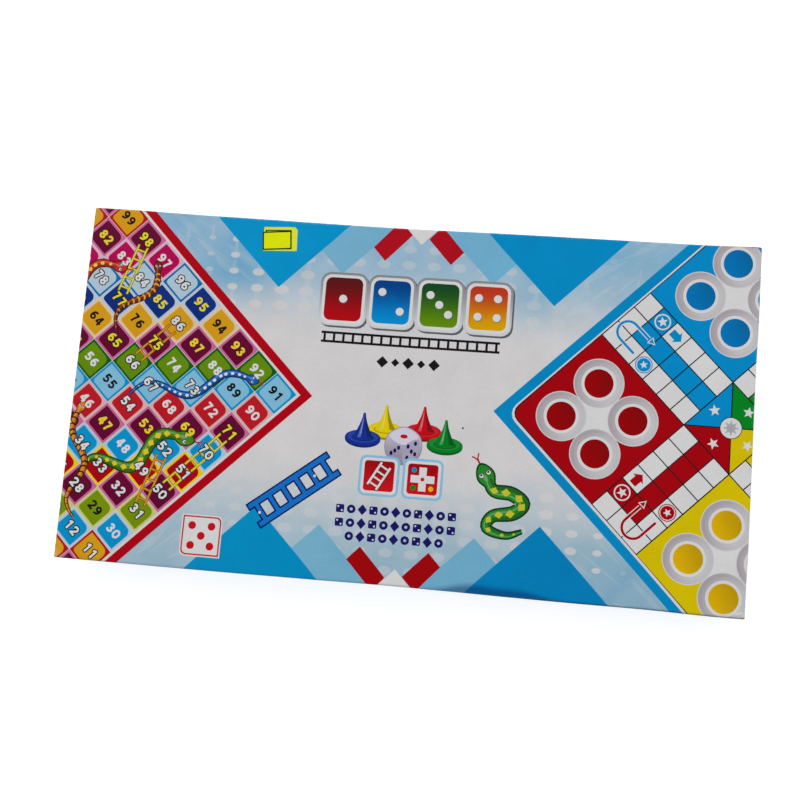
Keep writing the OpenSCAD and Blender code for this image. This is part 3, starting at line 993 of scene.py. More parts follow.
def normals_of(form, flat, depth, facing):
    """The form's normals at places of the flat sheet, from its slopes over a small step."""
    step = 0.02
    du = form(flat + (step, 0), depth) - form(flat - (step, 0), depth)
    dv = form(flat + (0, step), depth) - form(flat - (0, step), depth)
    n = np.cross(du, dv)
    n /= np.linalg.norm(n, axis=1)[:, None] + 1e-12
    return n * facing


def sheet(name, shapes, outline, lines, form, depths, materials, facing=1.0, wear=None, tone=None):
    """A closed piece of card or paper: its printed face at the first depth and its back at the second.
    Facing is -1 where the form turns the blank over. Tone gives shares that darken the inks place by
    place."""
    flat, triangles, inks = partition(shapes, outline, lines)
    if tone is not None:
        inks = inks * tone(flat[triangles.ravel()]).reshape(-1, 3, 3)
    count = len(flat)
    rim = rim_of(triangles)
    front, back = form(flat, depths[0]), form(flat, depths[1])
    front_n, back_n = normals_of(form, flat, depths[0], facing), -normals_of(form, flat, depths[1], facing)
    i, j = rim[:, 0], rim[:, 1]
    walls = np.stack([j, i, i + count, j + count], 1)
    if facing < 0:
        triangles, walls, inks = triangles[:, ::-1], walls[:, ::-1], inks[:, ::-1]
    loops = np.concatenate([triangles.ravel(), (triangles[:, ::-1] + count).ravel(), walls.ravel()])
    sizes = np.concatenate([np.full(2 * len(triangles), 3), np.full(len(walls), 4)])
    starts = np.concatenate([[0], np.cumsum(sizes)[:-1]])
    places = np.concatenate([front, back]) * MM
    mesh = bpy.data.meshes.new(name)
    mesh.vertices.add(len(places))
    mesh.vertices.foreach_set("co", places.ravel())
    mesh.loops.add(len(loops))
    mesh.loops.foreach_set("vertex_index", loops)
    mesh.polygons.add(len(sizes))
    mesh.polygons.foreach_set("loop_start", starts)
    slots = np.ones(len(sizes), int)
    slots[:len(triangles)] = 0
    mesh.polygons.foreach_set("material_index", slots)
    mesh.update(calc_edges=True)
    for look in materials:
        mesh.materials.append(look)
    ink = np.concatenate([inks.reshape(-1, 3), np.tile(CARD_GREY, (len(loops) - 3 * len(triangles), 1))])
    colours = mesh.color_attributes.new("ink", "FLOAT_COLOR", "CORNER")
    colours.data.foreach_set("color", np.concatenate([linear(ink), np.ones((len(ink), 1))], 1).ravel())
    if wear is not None:
        attribute = mesh.attributes.new("wear", "FLOAT", "POINT")
        attribute.data.foreach_set("value", np.tile(wear(flat), 2))
    bake_map(mesh, flat, len(triangles), loops, rim)
    face_n = np.empty(3 * len(sizes))
    mesh.polygons.foreach_get("normal", face_n)
    wall_n = np.repeat(face_n.reshape(-1, 3)[2 * len(triangles):], 4, 0)
    corner_n = np.concatenate([np.concatenate([front_n, back_n])[loops[:6 * len(triangles)]], wall_n])
    mesh.polygons.foreach_set("use_smooth", np.ones(len(sizes), bool))
    mesh.normals_split_custom_set(corner_n.tolist())
    return put(name, mesh)


# The flat map, as shares of its side: the margin round each part, the least room for the back, how much of
# that room the back fills, and how far past the print the rim's near and far edges lie
MAP_MARGIN, BACK_ROOM, BACK_FILL = 0.012, 0.12, 0.96
RIM_PAST = (0.001, 0.004)


def bake_map(mesh, flat, face_count, loops, rim):
    """A flat map of the piece: the print large, and its back small beside or above it."""
    low, size = flat.min(0), np.ptp(flat, axis=0)
    margin = MAP_MARGIN
    room = 1 - 3 * margin
    wide = size[0] >= size[1]
    across = min(size) / max(size)
    scale = min(room, (room - BACK_ROOM) / across) / max(size)
    uv_front = margin + (flat - low) * scale
    rest = room - min(size) * scale
    back_scale = min(rest / min(size), room / max(size)) * BACK_FILL
    above, beside = (margin, 2 * margin + size[1] * scale), (2 * margin + size[0] * scale, margin)
    shift = np.array(above if wide else beside)
    uv_back = shift + (flat - low) * back_scale
    outward = np.zeros_like(flat)
    ahead = flat[rim[:, 1]] - flat[rim[:, 0]]
    ahead /= np.linalg.norm(ahead, axis=1)[:, None] + 1e-12
    for end in (0, 1):
        np.add.at(outward, rim[:, end], np.stack([ahead[:, 1], -ahead[:, 0]], 1))
    outward /= np.linalg.norm(outward, axis=1)[:, None] + 1e-12
    uv = np.empty((len(loops), 2))
    uv[:3 * face_count] = uv_front[loops[:3 * face_count]]
    uv[3 * face_count:6 * face_count] = uv_back[loops[3 * face_count:6 * face_count] - len(flat)]
    side = loops[6 * face_count:]
    vertex = side % len(flat)
    past = np.where(side < len(flat), *RIM_PAST)[:, None]
    uv[6 * face_count:] = uv_front[vertex] + outward[vertex] * past
    layer = mesh.uv_layers.new(name="OFBake")
    layer.uv.foreach_set("vector", uv.ravel())


# Materials

def material(name, roughness, specular):
    made = bpy.data.materials.new(name)
    made.use_nodes = True
    shader = made.node_tree.nodes["Principled BSDF"]
    shader.inputs["Roughness"].default_value = roughness
    shader.inputs["Specular IOR Level"].default_value = specular
    return made, made.node_tree, shader


def node(tree, kind, **settings):
    made = tree.nodes.new(kind)
    for key, value in settings.items():
        if key in made.inputs:
            made.inputs[key].default_value = value
        else:
            setattr(made, key, value)
    return made


def noise(tree, scale, detail, stretch=(1, 1, 1)):
    """Noise in the piece's own coordinates. Scale is in waves per metre."""
    where = tree.nodes.new("ShaderNodeTexCoord")
    mapping = tree.nodes.new("ShaderNodeMapping")
    mapping.inputs["Scale"].default_value = stretch
    tree.links.new(where.outputs["Object"], mapping.inputs["Vector"])
    made = node(tree, "ShaderNodeTexNoise", Scale=scale, Detail=detail)
    tree.links.new(mapping.outputs["Vector"], made.inputs["Vector"])
    return made.outputs["Fac"]


def ramp(tree, value, low, high, to_low=0.0, to_high=1.0):
    made = tree.nodes.new("ShaderNodeMapRange")
    for key, number_in in (("From Min", low), ("From Max", high), ("To Min", to_low), ("To Max", to_high)):
        made.inputs[key].default_value = number_in
    tree.links.new(value, made.inputs["Value"])
    return made.outputs["Result"]


def blend(tree, factor, a, b):
    """Colour a to colour b by a factor. Each may be a value or a socket."""
    made = tree.nodes.new("ShaderNodeMix")
    made.data_type = "RGBA"
    colour_a, colour_b = [s for s in made.inputs if s.type == "RGBA"]
    for socket, value in ((made.inputs[0], factor), (colour_a, a), (colour_b, b)):
        if isinstance(value, bpy.types.NodeSocket):
            tree.links.new(value, socket)
        elif isinstance(value, (int, float)):
            socket.default_value = value
        else:
            socket.default_value = (*linear(value), 1)
    return [s for s in made.outputs if s.type == "RGBA"][0]


def bump(tree, shader, height, strength, distance_mm):
    made = node(tree, "ShaderNodeBump", Strength=strength, Distance=distance_mm * MM)
    tree.links.new(height, made.inputs["Height"])
    tree.links.new(made.outputs["Normal"], shader.inputs["Normal"])


def scaled(tree, colour, share):
    """A colour times a share, which makes it darker below 1 and lighter above it."""
    made = node(tree, "ShaderNodeVectorMath", operation="SCALE")
    tree.links.new(colour, made.inputs[0])
    tree.links.new(share, made.inputs["Scale"])
    return made.outputs["Vector"]


def maths(tree, operation, a, b):
    """The outcome of an operation on two sockets."""
    made = node(tree, "ShaderNodeMath", operation=operation)
    tree.links.new(a, made.inputs[0])
    tree.links.new(b, made.inputs[1])
    return made.outputs[0]


def mottle(tree, scale, detail, *limits, stretch=(1, 1, 1)):
    """Noise between the limits of a ramp."""
    return ramp(tree, noise(tree, scale, detail, stretch), *limits)


PRINT_SPECULAR = 0.04
RUBBED = (212, 210, 206)


def print_material(name, roughness=0.3, worn=False):
    """Printed ink under a thin gloss film, with faint mottle and fine grain. A worn one is rubbed and
    cracked white at its folds."""
    made, tree, shader = material(name, roughness, PRINT_SPECULAR)
    ink = node(tree, "ShaderNodeAttribute", attribute_name="ink").outputs["Color"]
    colour = scaled(tree, ink, mottle(tree, 90, 4, 0.3, 0.7, 0.96, 1.02))
    colour = scaled(tree, colour, mottle(tree, 900, 2, 0.35, 0.75, 1.01, 0.965))
    if worn:
        wear = node(tree, "ShaderNodeAttribute", attribute_name="wear").outputs["Fac"]
        cracked = maths(tree, "MULTIPLY", wear, mottle(tree, 1100, 5, 0.46, 0.64))
        rubbed = maths(tree, "MULTIPLY", cracked, mottle(tree, 38, 3, 0.4, 0.62, 0.15, 1.0))
        colour = blend(tree, rubbed, colour, RUBBED)
    tree.links.new(colour, shader.inputs["Base Color"])
    gloss = mottle(tree, 60, 5, 0.3, 0.7, roughness - 0.05, roughness + 0.1)
    tree.links.new(gloss, shader.inputs["Roughness"])
    bump(tree, shader, noise(tree, 420, 3), 0.12, 0.05)
    return made


CARD_ROUGHNESS = 0.85


def card_material(name, ink, fleck):
    """Uncoated board: short fibres, small flecks and a faint cloudiness."""
    made, tree, shader = material(name, CARD_ROUGHNESS, 0.3)
    fibres = mottle(tree, 520, 4, 0.35, 0.7, stretch=(1, 6, 1))
    colour = blend(tree, fibres, mix(ink, fleck, 0.12), mix(ink, WHITE, 0.2))
    colour = blend(tree, mottle(tree, 45, 3, 0.3, 0.7, 0.0, 0.1), colour, fleck)
    colour = blend(tree, mottle(tree, 1500, 1, 0.68, 0.74, 0.0, 0.45), colour, fleck)
    tree.links.new(colour, shader.inputs["Base Color"])
    bump(tree, shader, noise(tree, 800, 4, (1, 4, 1)), 0.3, 0.06)
    return made


def tape_material():
    """Binding paper embossed like cloth: two crossing sets of fine ribs."""
    made, tree, shader = material("binding_tape", 0.5, 0.35)
    where = tree.nodes.new("ShaderNodeTexCoord")
    heights = []
    for direction in ("X", "Y"):
        ribs = node(tree, "ShaderNodeTexWave", Scale=380.0, Distortion=0.6)
        ribs.bands_direction = direction
        tree.links.new(where.outputs["Object"], ribs.inputs["Vector"])
        heights.append(ribs.outputs["Fac"])
    total = maths(tree, "ADD", *heights)
    colour = blend(tree, ramp(tree, total, 0.3, 1.6), (112, 8, 16), (150, 14, 24))
    colour = blend(tree, mottle(tree, 160, 5, 0.6, 0.72, 0.0, 0.25), colour, (178, 88, 84))
    tree.links.new(colour, shader.inputs["Base Color"])
    bump(tree, shader, total, 0.35, 0.08)
    return made


def plastic_material(name, ink, roughness=0.24):
    """Glossy moulded plastic with faint flow marks and handling haze."""
    made, tree, shader = material(name, roughness, 0.5)
    flow = mottle(tree, 130, 3, 0.3, 0.7, stretch=(1, 1, 3))
    colour = blend(tree, flow, mix(ink, BLACK, 0.08), mix(ink, WHITE, 0.05))
    tree.links.new(colour, shader.inputs["Base Color"])
    haze = mottle(tree, 300, 5, 0.35, 0.7, roughness - 0.04, roughness + 0.14)
    tree.links.new(haze, shader.inputs["Roughness"])
    bump(tree, shader, noise(tree, 260, 2), 0.08, 0.1)
    return made


LID_PRINT = print_material("lid_print", worn=True)
SNAKES_PRINT = print_material("snakes_print", 0.34, worn=True)
LUDO_PRINT = print_material("ludo_print", 0.34, worn=True)
LABEL_PRINT = print_material("label_paper", 0.42)
CARD_INSIDE = card_material("card_inside", CARD_GREY, (120, 112, 100))
TRAY_OUTSIDE = print_material("tray_card", 0.5, worn=True)
INSERT_CARD = card_material("insert_card", (196, 193, 186), (140, 130, 114))
GREYBOARD = card_material("greyboard", (150, 142, 130), (86, 78, 68))
SHEET_BACK = card_material("sheet_back", (204, 203, 200), (150, 146, 140))
TAPE = tape_material()


def dress(node_name, made):
    """A carried CAD node gets its material."""
    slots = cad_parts[node_name].data.materials
    slots.clear()
    slots.append(made)


def place(piece, body, slot_name, *nodes):
    """A piece of the scene gets its body, and the CAD nodes that it stands for are hidden. The slot name is
    not used.
    """
    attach(piece, body)
    if nodes:
        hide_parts(*nodes)


# The lid

# A stretch of the front edge is pressed down, as two bumps side by side: where the middle of each is, how
# far it reaches along the edge and how wide it is. The slope is the drop for each millimetre of width, past
# a soft start. The ends are where along X the mesh follows the stretch's border.
ROLLS = ((32.0, 11.5, 2.7), (51.0, 12.0, 2.2))
ROLL_SLOPE, ROLL_SOFT = 0.95, 0.9
ROLL_ENDS = (6.0, 78.0)
# How far the slack top sinks at its middle, and how far a long wall bows at its top and more at its foot
TOP_SAG = 0.45
WALL_BOW, FOOT_BOW = 0.25, 0.35


def roll_width(x):
    """How wide the pressed stretch is at places along the front edge."""
    return sum(wide * bell(x, middle, reach) for middle, reach, wide in ROLLS)


def out_of_line(p):
    """How far places on the lid lie from where they would in a true box. Its long edges are drawn in along
    the middle, and it is pulled out at the right and near three corners. Each term starts with how far."""
    x, y = p[:, 0], p[:, 1]
    right = 0.3 * smooth(y, -66, -45) + 0.35 * smooth(y, 20, 45)
    rear = (0.55 * smooth(x, 112, 137) + 0.6 * smooth(-x, 85, 130)
            - 0.9 * bell(x, -8, 60) - 0.3 * smooth(x, 20, 80))
    front = 0.6 * smooth(x, 95, 130) - 0.65 * bell(x, -3, 38) - 0.22 * smooth(-x, 20, 50)
    edge = np.where(y > 0, rear, front)
    return np.stack([right * np.clip(x / SIDE_X, 0, 1), edge * np.clip(y / TOP_Y, -1, 1)], 1)


def lid_bend(p):
    """How the lid's card departs from a true box: a slack top, bowed walls and a pressed front edge."""
    x, y, drop = p[:, 0] / SIDE_X, p[:, 1] / TOP_Y, np.clip(-p[:, 2], 0, None)
    moved = np.zeros_like(p)
    moved[:, :2] = out_of_line(p)
    belly = np.clip(1 - x * x, 0, 1)
    moved[:, 2] -= TOP_SAG * belly * np.clip(1 - y * y, 0, 1)
    bow = WALL_BOW + FOOT_BOW * smooth(drop, 0, 24)
    moved[:, 1] += np.sign(y) * belly * smooth(np.abs(y), 0.9, 1.0) * bow
    over = np.clip(roll_width(p[:, 0]) - (TOP_Y + p[:, 1]), 0, None)
    moved[:, 2] -= ROLL_SLOPE * over ** 2 / (over + ROLL_SOFT) * (1 - smooth(drop, 0.7, 6.0))
    return moved


LID = Blank(SIDE_X, TOP_Y, LID_WALL, LID_HIGH[2], True, lid_bend)
# The print is split across the lid, so that each piece can hold fine detail.
LID_CUTS = (-math.inf, -38.0, 36.0, math.inf)


def lid_wear(flat):
    """Rubbing along the folds, most at the corners. The stronger rubbing along the rear fold is partly a
    painted highlight.
    """
    x, y = np.abs(flat[:, 0]), np.abs(flat[:, 1])
    near_x, near_y = bell(x, SIDE_X, 0.55), bell(y, TOP_Y, 0.5)
    corner = np.exp(-((x - SIDE_X) ** 2 + (y - TOP_Y) ** 2) / 7.0)
    front_right = np.exp(-((flat[:, 0] - SIDE_X) ** 2 + (flat[:, 1] + TOP_Y) ** 2) / 8.0)
    # Along the rear fold the whitening is real rubbing and a painted highlight; the front fold has little of
    # it.
    rear_rub_and_highlight = np.where(flat[:, 1] > 0, 0.55, 0.12)
    at_side = np.where(flat[:, 0] > 0, 0.45, 0.25)
    return np.clip(at_side * near_x + rear_rub_and_highlight * near_y + 0.8 * corner + 1.2 * front_right, 0, 1)


# How much the red, green and blue of an ink fade under the painted shade of the pressed stretch, how much
# wider than the stretch that shade is, how it sets in and how much painted shade darkens any ink at the fold
PRESSED_PAINTED_SHADE = np.array((0.36, 0.27, 0.18))
PAINTED_SHADE_SPREAD = 1.3
PAINTED_SHADE_EDGE = (-1.4, -0.9, -0.4, 0.2, 0.9, 1.6)
FOLD_PAINTED_SHADE = 0.34


def lid_tone(flat):
    """Painted shade: the inks darken over the pressed stretch and along the front fold beside it."""
    x, y = flat[:, 0], TOP_Y + flat[:, 1]
    on_top = y > -0.9
    # Painted shade darkens the pressed stretch, and the front fold beside it.
    painted_shade = smooth(PAINTED_SHADE_SPREAD * roll_width(x) - y, PAINTED_SHADE_EDGE[0], PAINTED_SHADE_EDGE[-1]) * on_top
    fold = bell(y, 0.1, 0.4) * smooth(x, 20, 60) * FOLD_PAINTED_SHADE
    return (1 - painted_shade[:, None] * PRESSED_PAINTED_SHADE) * (1 - fold[:, None])


def lid_lines():
    """The blank's own lines, the border of the pressed stretch and the shaded front fold."""
    x = np.linspace(*ROLL_ENDS, 41)
    found = LID.lines()
    for inset in PAINTED_SHADE_EDGE:
        y = np.maximum(PAINTED_SHADE_SPREAD * roll_width(x) - inset, 0.0) - TOP_Y
        found += list(zip(zip(x[:-1], y[:-1]), zip(x[1:], y[1:])))
    return found + [((ROLL_ENDS[0], y - TOP_Y), (SIDE_X - 2, y - TOP_Y)) for y in (0.1, 0.4, 0.75)]


def clip_x(outline, low, high):
    """The part of an outline between two values of X."""
    for limit, keep in ((low, 1), (high, -1)):
        kept = []
        for a, b in zip(outline, np.roll(outline, -1, 0)):
            inside_a, inside_b = keep * (a[0] - limit) >= 0, keep * (b[0] - limit) >= 0
            if inside_a:
                kept.append(a)
            if inside_a != inside_b:
                kept.append(a + (b - a) * (limit - a[0]) / (b[0] - a[0]))
        outline = np.array(kept)
    return outline


def reaches_top(contours):
    """Whether a shape reaches the top or its folds. The walls' own print covers what lies past them."""
    low, high = np.min([c.min(0) for c in contours], 0), np.max([c.max(0) for c in contours], 0)
    edge = np.array((SIDE_X, TOP_Y)) + 1.5
    return (high > -edge).all() and (low < edge).all()


MARGIN_BLUE = (150, 182, 208)
# How far onto the fold the walls' print comes, and where along X the rear wall's red panel starts
FOLD_LAP = 0.2
RED_PANEL = 104.0


def make_lid():
    shapes = []
    pen = Pen(shapes)
    lid_top(pen)
    # The top's print is laid out as it looks, so the card's bend is taken off its shapes.
    shapes[:] = [(ink, [c - out_of_line(c) for c in contours]) for ink, contours in shapes
                 if reaches_top(contours)]
    arc = QUARTER - FOLD
    for side in (-1, 1):
        long_wall = pen.at(0, side * (TOP_Y + arc - FOLD_LAP), turn=0 if side > 0 else 180)
        wall_strip(long_wall, 2 * SIDE_X, RED_PANEL if side > 0 else 0.0)
        end = pen.at(side * (SIDE_X + arc - FOLD_LAP), 0, turn=-90 * side)
        end.fill(MARGIN_BLUE, rect(-TOP_Y - OVERLAP, WALL_TOP, TOP_Y + OVERLAP, SPARE))
        wall_strip(end, 2 * TOP_Y)
    for x in (-1, 1):
        for y in (-1, 1):
            x0, x1 = sorted((x * LID.flap_half, x * (LID.flap_half + SPARE)))
            y0, y1 = sorted((y * (TOP_Y + OVERLAP), y * (TOP_Y + OVERLAP + SPARE)))
            pen.fill(CARD_GREY, rect(x0, y0, x1, y1))
    for name, low, high in zip(("lid_snakes_end", "lid_middle", "lid_ludo_end"), LID_CUTS, LID_CUTS[1:]):
        # The tone is painted shade on the pressed front edge and its fold.
        piece = sheet(name, shapes, clip_x(LID.outline(), low, high), lid_lines(), LID.form, (0.0, CARD),
                      (LID_PRINT, CARD_INSIDE), wear=lid_wear, tone=lid_tone)
        place(piece, "lid", "lid_print", "lid_shell")


make_lid()


# The tray, folded the same way with its walls upwards, with a blue band round them between two heights

TRAY_BAND = (8.0, 17.0)
TRAY_WHITE = (200, 200, 198)
# The share of the lid's drawn-in edges that the tray's walls follow
TRAY_LEAN = 0.5


def tray_bend(p):
    """The tray's long walls give way under the lid's: both lean in, and the front one is pressed down."""
    y, rise = p[:, 1], -p[:, 2]
    moved = np.zeros_like(p)
    inward = np.sign(y) * np.minimum(out_of_line(p)[:, 1] * np.sign(y), 0) * (np.abs(y) > TRAY_HIGH[1] - 10)
    moved[:, 1] = TRAY_LEAN * inward * np.clip(rise / TRAY_HIGH[2], 0, 1)
    pressed = ROLL_SLOPE * roll_width(p[:, 0]) * (y < 10 - TRAY_HIGH[1])
    moved[:, 2] += pressed * smooth(rise, 6, TRAY_HIGH[2])
    return moved


def make_tray():
    hx, hy = TRAY_HIGH[:2]
    blank = Blank(hx, hy, TRAY_HIGH[2], 0.0, False, tray_bend)
    shapes = []
    pen = Pen(shapes)
    pen.fill(TRAY_WHITE, rect(-hx - SPARE, -hy - SPARE, hx + SPARE, hy + SPARE))
    band_low, band_high = TRAY_BAND
    pen.fill(BLUE, rect(-hx - band_high, -hy - band_high, hx + band_high, hy + band_high),
             rect(-hx - band_low, -hy - band_low, hx + band_low, hy + band_low))

    def wear(flat):
        x, y = np.abs(flat[:, 0]), np.abs(flat[:, 1])
        return np.clip(0.5 * bell(x, hx, 0.6) + 0.5 * bell(y, hy, 0.6), 0, 1)

    piece = sheet("tray_card", shapes, blank.outline(), blank.lines(), blank.form, (0.0, CARD),
                  (TRAY_OUTSIDE, CARD_INSIDE), facing=-1.0, wear=wear)
    place(piece, "tray", "tray_card", "tray_shell")


make_tray()


# The price labels

# Each label's piece and node, its middle, turn and size, the inks of its face and cut edge, the corners of
# its printed frame, its layer, how far one corner is trimmed and how far it curls up
LABELS = (
    ("price_label_lower", "price_label_under", (-57.4, 65.05, 2.7, 14.2, 10.1),
     ((210, 218, 48), (190, 206, 120)), (-6.45, -3.9, 4.6, 3.85), 1, 1.2, 0.06),
    ("price_label_top", "price_label_over", (-58.75, 64.4, 5.2, 12.2, 7.8),
     ((212, 220, 4), (70, 80, 8)), (-6.0, -3.8, 6.0, 3.8), 2, 0.02, 0.12),
)
FRAME_LINE, FRAME_CORNER = 0.46, 0.3
LABEL_T = 0.1
CUT_LINE = 0.2


def make_label(name, node_name, size, inks, frame_box, layer, trim, curl):
    x, y, turn, w, h = size
    c, s = math.cos(math.radians(turn)), math.sin(math.radians(turn))

    def form(flat, depth):
        on_lid = flat @ np.array([(c, s), (-s, c)]) + (x, y)
        on_lid = on_lid - out_of_line(on_lid)
        lift = curl * smooth((flat[:, 0] - flat[:, 1]) / (w + h) * 2, 0.45, 1.0)
        return LID.form(on_lid, 0) + np.stack([0 * lift, 0 * lift, layer * LABEL_T - depth + lift], 1)

    shapes = []
    pen = Pen(shapes)
    pen.fill(inks[1], rect(-w, -h, w, h))
    pen.fill(inks[0], rect(-w / 2 + CUT_LINE, -h / 2 + CUT_LINE, w / 2 - CUT_LINE, h / 2 - CUT_LINE))
    x0, y0, x1, y1 = frame_box
    inside = (x0 + FRAME_LINE, y0 + FRAME_LINE, x1 - FRAME_LINE, y1 - FRAME_LINE)
    pen.fill(BLACK, rounded(x0, y0, x1, y1, FRAME_CORNER, 2), rounded(*inside, FRAME_CORNER / 2, 2))
    outline = np.array([(-w / 2, -h / 2), (w / 2, -h / 2), (w / 2, h / 2 - trim), (w / 2 - trim, h / 2),
                        (-w / 2, h / 2)])
    lines = [((k, -h), (k, h)) for k in np.arange(-w / 2 + 1.0, w / 2, 1.3)]
    piece = sheet(name, shapes, outline, lines, form, (0.0, LABEL_T), (LABEL_PRINT, SHEET_BACK))
    place(piece, "lid", "label_paper", node_name)


for label in LABELS:
    make_label(*label)


# The folding board's printed sheets. The flat sheet's Y runs from the crease, and the upper half lies folded
# over the lower.

SHEET_REACH = 150
SHEET_GRID = 24.5
SHEET_SCALE = SHEET_GRID / CELL
LUDO_SCALE = 2 * SHEET_GRID * 5 / LUDO


def draw_snakes(pen):
    pen.fill(MARGIN_BLUE, rect(-SHEET_REACH, -SHEET_REACH, SHEET_REACH, SHEET_REACH))
    snakes_board(pen.at(0, 0, scale=SHEET_SCALE), [(PAPER, 0.7), (RED, 2.2), (PAPER, 2.6), (BLUE, 5.0)])


def draw_ludo(pen):
    pen.fill(BLUE, rect(-SHEET_REACH, -SHEET_REACH, SHEET_REACH, SHEET_REACH))
    own = pen.at(0, 0, scale=LUDO_SCALE)
    ludo_board(own.at(-LUDO / 2, -LUDO / 2), [(PAPER, 1.0, 1.0, 4.0), (BLUE, 3.0, 3.0, 0.2)])


GAMES = {"snakes": (draw_snakes, SNAKES_PRINT), "ludo": (draw_ludo, LUDO_PRINT)}


def make_board_sheet(game, half):
    """One half of a game's sheet: the snakes print is inside the fold, and the ludo print is outside it."""
    draw, print_look = GAMES[game]
    node_name = f"{game}_sheet_{half}"
    faces_up = (half == "upper") == (game == "ludo")
    down = 1.0 if faces_up else -1.0
    low, high = box_mm(node_name)
    width, length = high[0], HINGE_Y - low[1]
    outside, thick = (high if faces_up else low)[2], high[2] - low[2]

    def form(flat, depth):
        height = outside - down * depth + 0 * flat[:, 0]
        return np.stack([flat[:, 0], HINGE_Y - np.abs(flat[:, 1]), height], 1)

    def wear(flat):
        """Rubbed along the crease, and a little at the cut edges."""
        x, y = np.abs(flat[:, 0]), np.abs(flat[:, 1])
        return np.clip(0.9 * bell(y, 0, 0.5) + 0.4 * bell(x, width, 0.6) + 0.4 * bell(y, length, 0.6), 0, 1)

    def crease(flat):
        """Painted shade along the fold: a fine dark line where a groove would be shaded."""
        return np.tile(1 - 0.42 * bell(flat[:, 1:], 0, 0.3), 3)

    shapes = []
    draw(Pen(shapes))
    y0, y1 = sorted((0.0, -down * length))
    across = [-down * y for y in (0.2, 0.4, 0.7, 1.2, length - 0.5, length - 1.2)]
    lines = [((-width - 1, y), (width + 1, y)) for y in across]
    lines += [((x, y0 - 1), (x, y1 + 1)) for x in (-width + 1.2, -width + 0.5, width - 0.5, width - 1.2)]
    # The crease tone is painted shade along the fold.
    piece = sheet(f"{game}_print_{half}", shapes, rect(-width, y0, width, y1), lines, form, (0.0, thick),
                  (print_look, SHEET_BACK), wear=wear, tone=crease)
    place(piece, "board_" + half, game + "_print", node_name)


for game, half in (("snakes", "lower"), ("snakes", "upper"), ("ludo", "upper"), ("ludo", "lower")):
    make_board_sheet(game, half)
for half in ("lower", "upper"):
    dress("board_core_" + half, GREYBOARD)
    dress("edge_tape_" + half, TAPE)
dress("card_insert", INSERT_CARD)


# Pawns

PAWN_INKS = {"red": (188, 8, 20), "blue": (10, 40, 150), "green": (0, 118, 34), "yellow": (222, 196, 10)}
PAWN_SWEEP = 2.3
PAWN_TIP = 1.1
PAWN_WALL = 1.0
BRIM_T = 1.2
BRIM_EDGE = 0.35
PAWN_TURNS = 56


def finished(made, name):
    """The mesh of a bmesh, which is then freed."""
    mesh = bpy.data.meshes.new(name)
    made.to_mesh(mesh)
    made.free()
    return mesh


def pawn_profile(brim, height):
    """Half outline of a hollow pawn, from the brim's foot over the tip and back down the inside."""
    edge = BRIM_EDGE
    tip_z = height - PAWN_TIP
    t = np.linspace(0, 1, 18)
    r = PAWN_TIP + (brim - edge - PAWN_TIP) * (1 - t) ** PAWN_SWEEP
    z = BRIM_T + (tip_z - BRIM_T) * t
    turns = [(math.sin(a), math.cos(a)) for a in np.radians((0, 30, 60, 90))]
    foot = [(brim - edge * (1 - s), edge * (1 - c)) for s, c in turns]
    lip = [(brim - edge * (1 - c), BRIM_T - edge * (1 - s)) for s, c in turns]
    tip = [(PAWN_TIP * math.cos(a), tip_z + PAWN_TIP * math.sin(a))
           for a in np.radians(np.arange(15, 90, 15))]
    inner = [(max(x - PAWN_WALL * (1 + s), PAWN_TIP / 2), s * (tip_z - 1.0)) for x, s in zip(r, t)]
    return foot + lip + list(zip(r[1:], z[1:])) + tip + [(0, height)], inner


def make_pawn_mesh(name, brim, height, ink):
    outer, inner = pawn_profile(brim, height)
    mouth = inner[0][0]
    profile = outer[::-1] + [(mouth + 0.2, 0.0), (mouth, 0.2)] + inner[1:] + [(0, inner[-1][1])]
    turns = PAWN_TURNS
    made = bmesh.new()
    rings = []
    for r, z in profile:
        if r == 0:
            rings.append([made.verts.new((0, 0, z * MM))] * turns)
        else:
            a = 2 * np.pi * np.arange(turns) / turns
            rings.append([made.verts.new((r * math.cos(b) * MM, r * math.sin(b) * MM, z * MM)) for b in a])
    for lower, upper in zip(rings, rings[1:]):
        for k in range(turns):
            corners = [lower[k], upper[k], upper[(k + 1) % turns], lower[(k + 1) % turns]]
            corners = [v for i, v in enumerate(corners) if v not in corners[:i]]
            made.faces.new(corners)
    bmesh.ops.recalc_face_normals(made, faces=made.faces)
    mesh = finished(made, name)
    mesh.shade_smooth()
    mesh.materials.append(plastic_material("plastic_" + name, ink))
    return mesh


def make_pawns():
    for colour, ink in PAWN_INKS.items():
        low, high = box_mm(f"pawn_{colour}_1")
        mesh = make_pawn_mesh("pawn_" + colour, (high[0] - low[0]) / 2, high[2] - low[2], ink)
        for k in range(1, 5):
            node_name = f"pawn_{colour}_{k}"
            low, high = box_mm(node_name)
            stand = ((low[0] + high[0]) / 2, (low[1] + high[1]) / 2, low[2])
            piece = put(f"{colour}_pawn_{k}", mesh, stand)
            place(piece, node_name, "pawn_" + colour, node_name)


make_pawns()


# The die is a rounded cube with round dimples, each with a spot of paint.

PIP_R = 0.95
PIP_PITCH = 2.7
DIMPLE = 0.42
PAINT_T = 0.06
# The share of a dimple's width that its paint covers, and how far the paint is clear of the dimple
PAINT_SHARE, PAINT_CLEAR = 0.93, 0.004
PAINT_TURNS = 24
DIE_EDGE, DIE_EDGE_STEPS = 1.7, 6
DIE_INK, PIP_INK = (216, 208, 192), (20, 20, 24)
CUTTER_TURNS, CUTTER_LEVELS = 40, 28
FACES = [(1, "z", 1), (6, "z", -1), (2, "y", -1), (5, "y", 1), (3, "x", 1), (4, "x", -1)]


def face_frame(axis, side):
    """Right, up and outward directions of a die's face."""
    outward = np.array([axis == "x", axis == "y", axis == "z"], float) * side
    right = np.array((0, 1, 0) if axis != "y" else (0, 0, 1), float)
    return right, np.cross(outward, right), outward


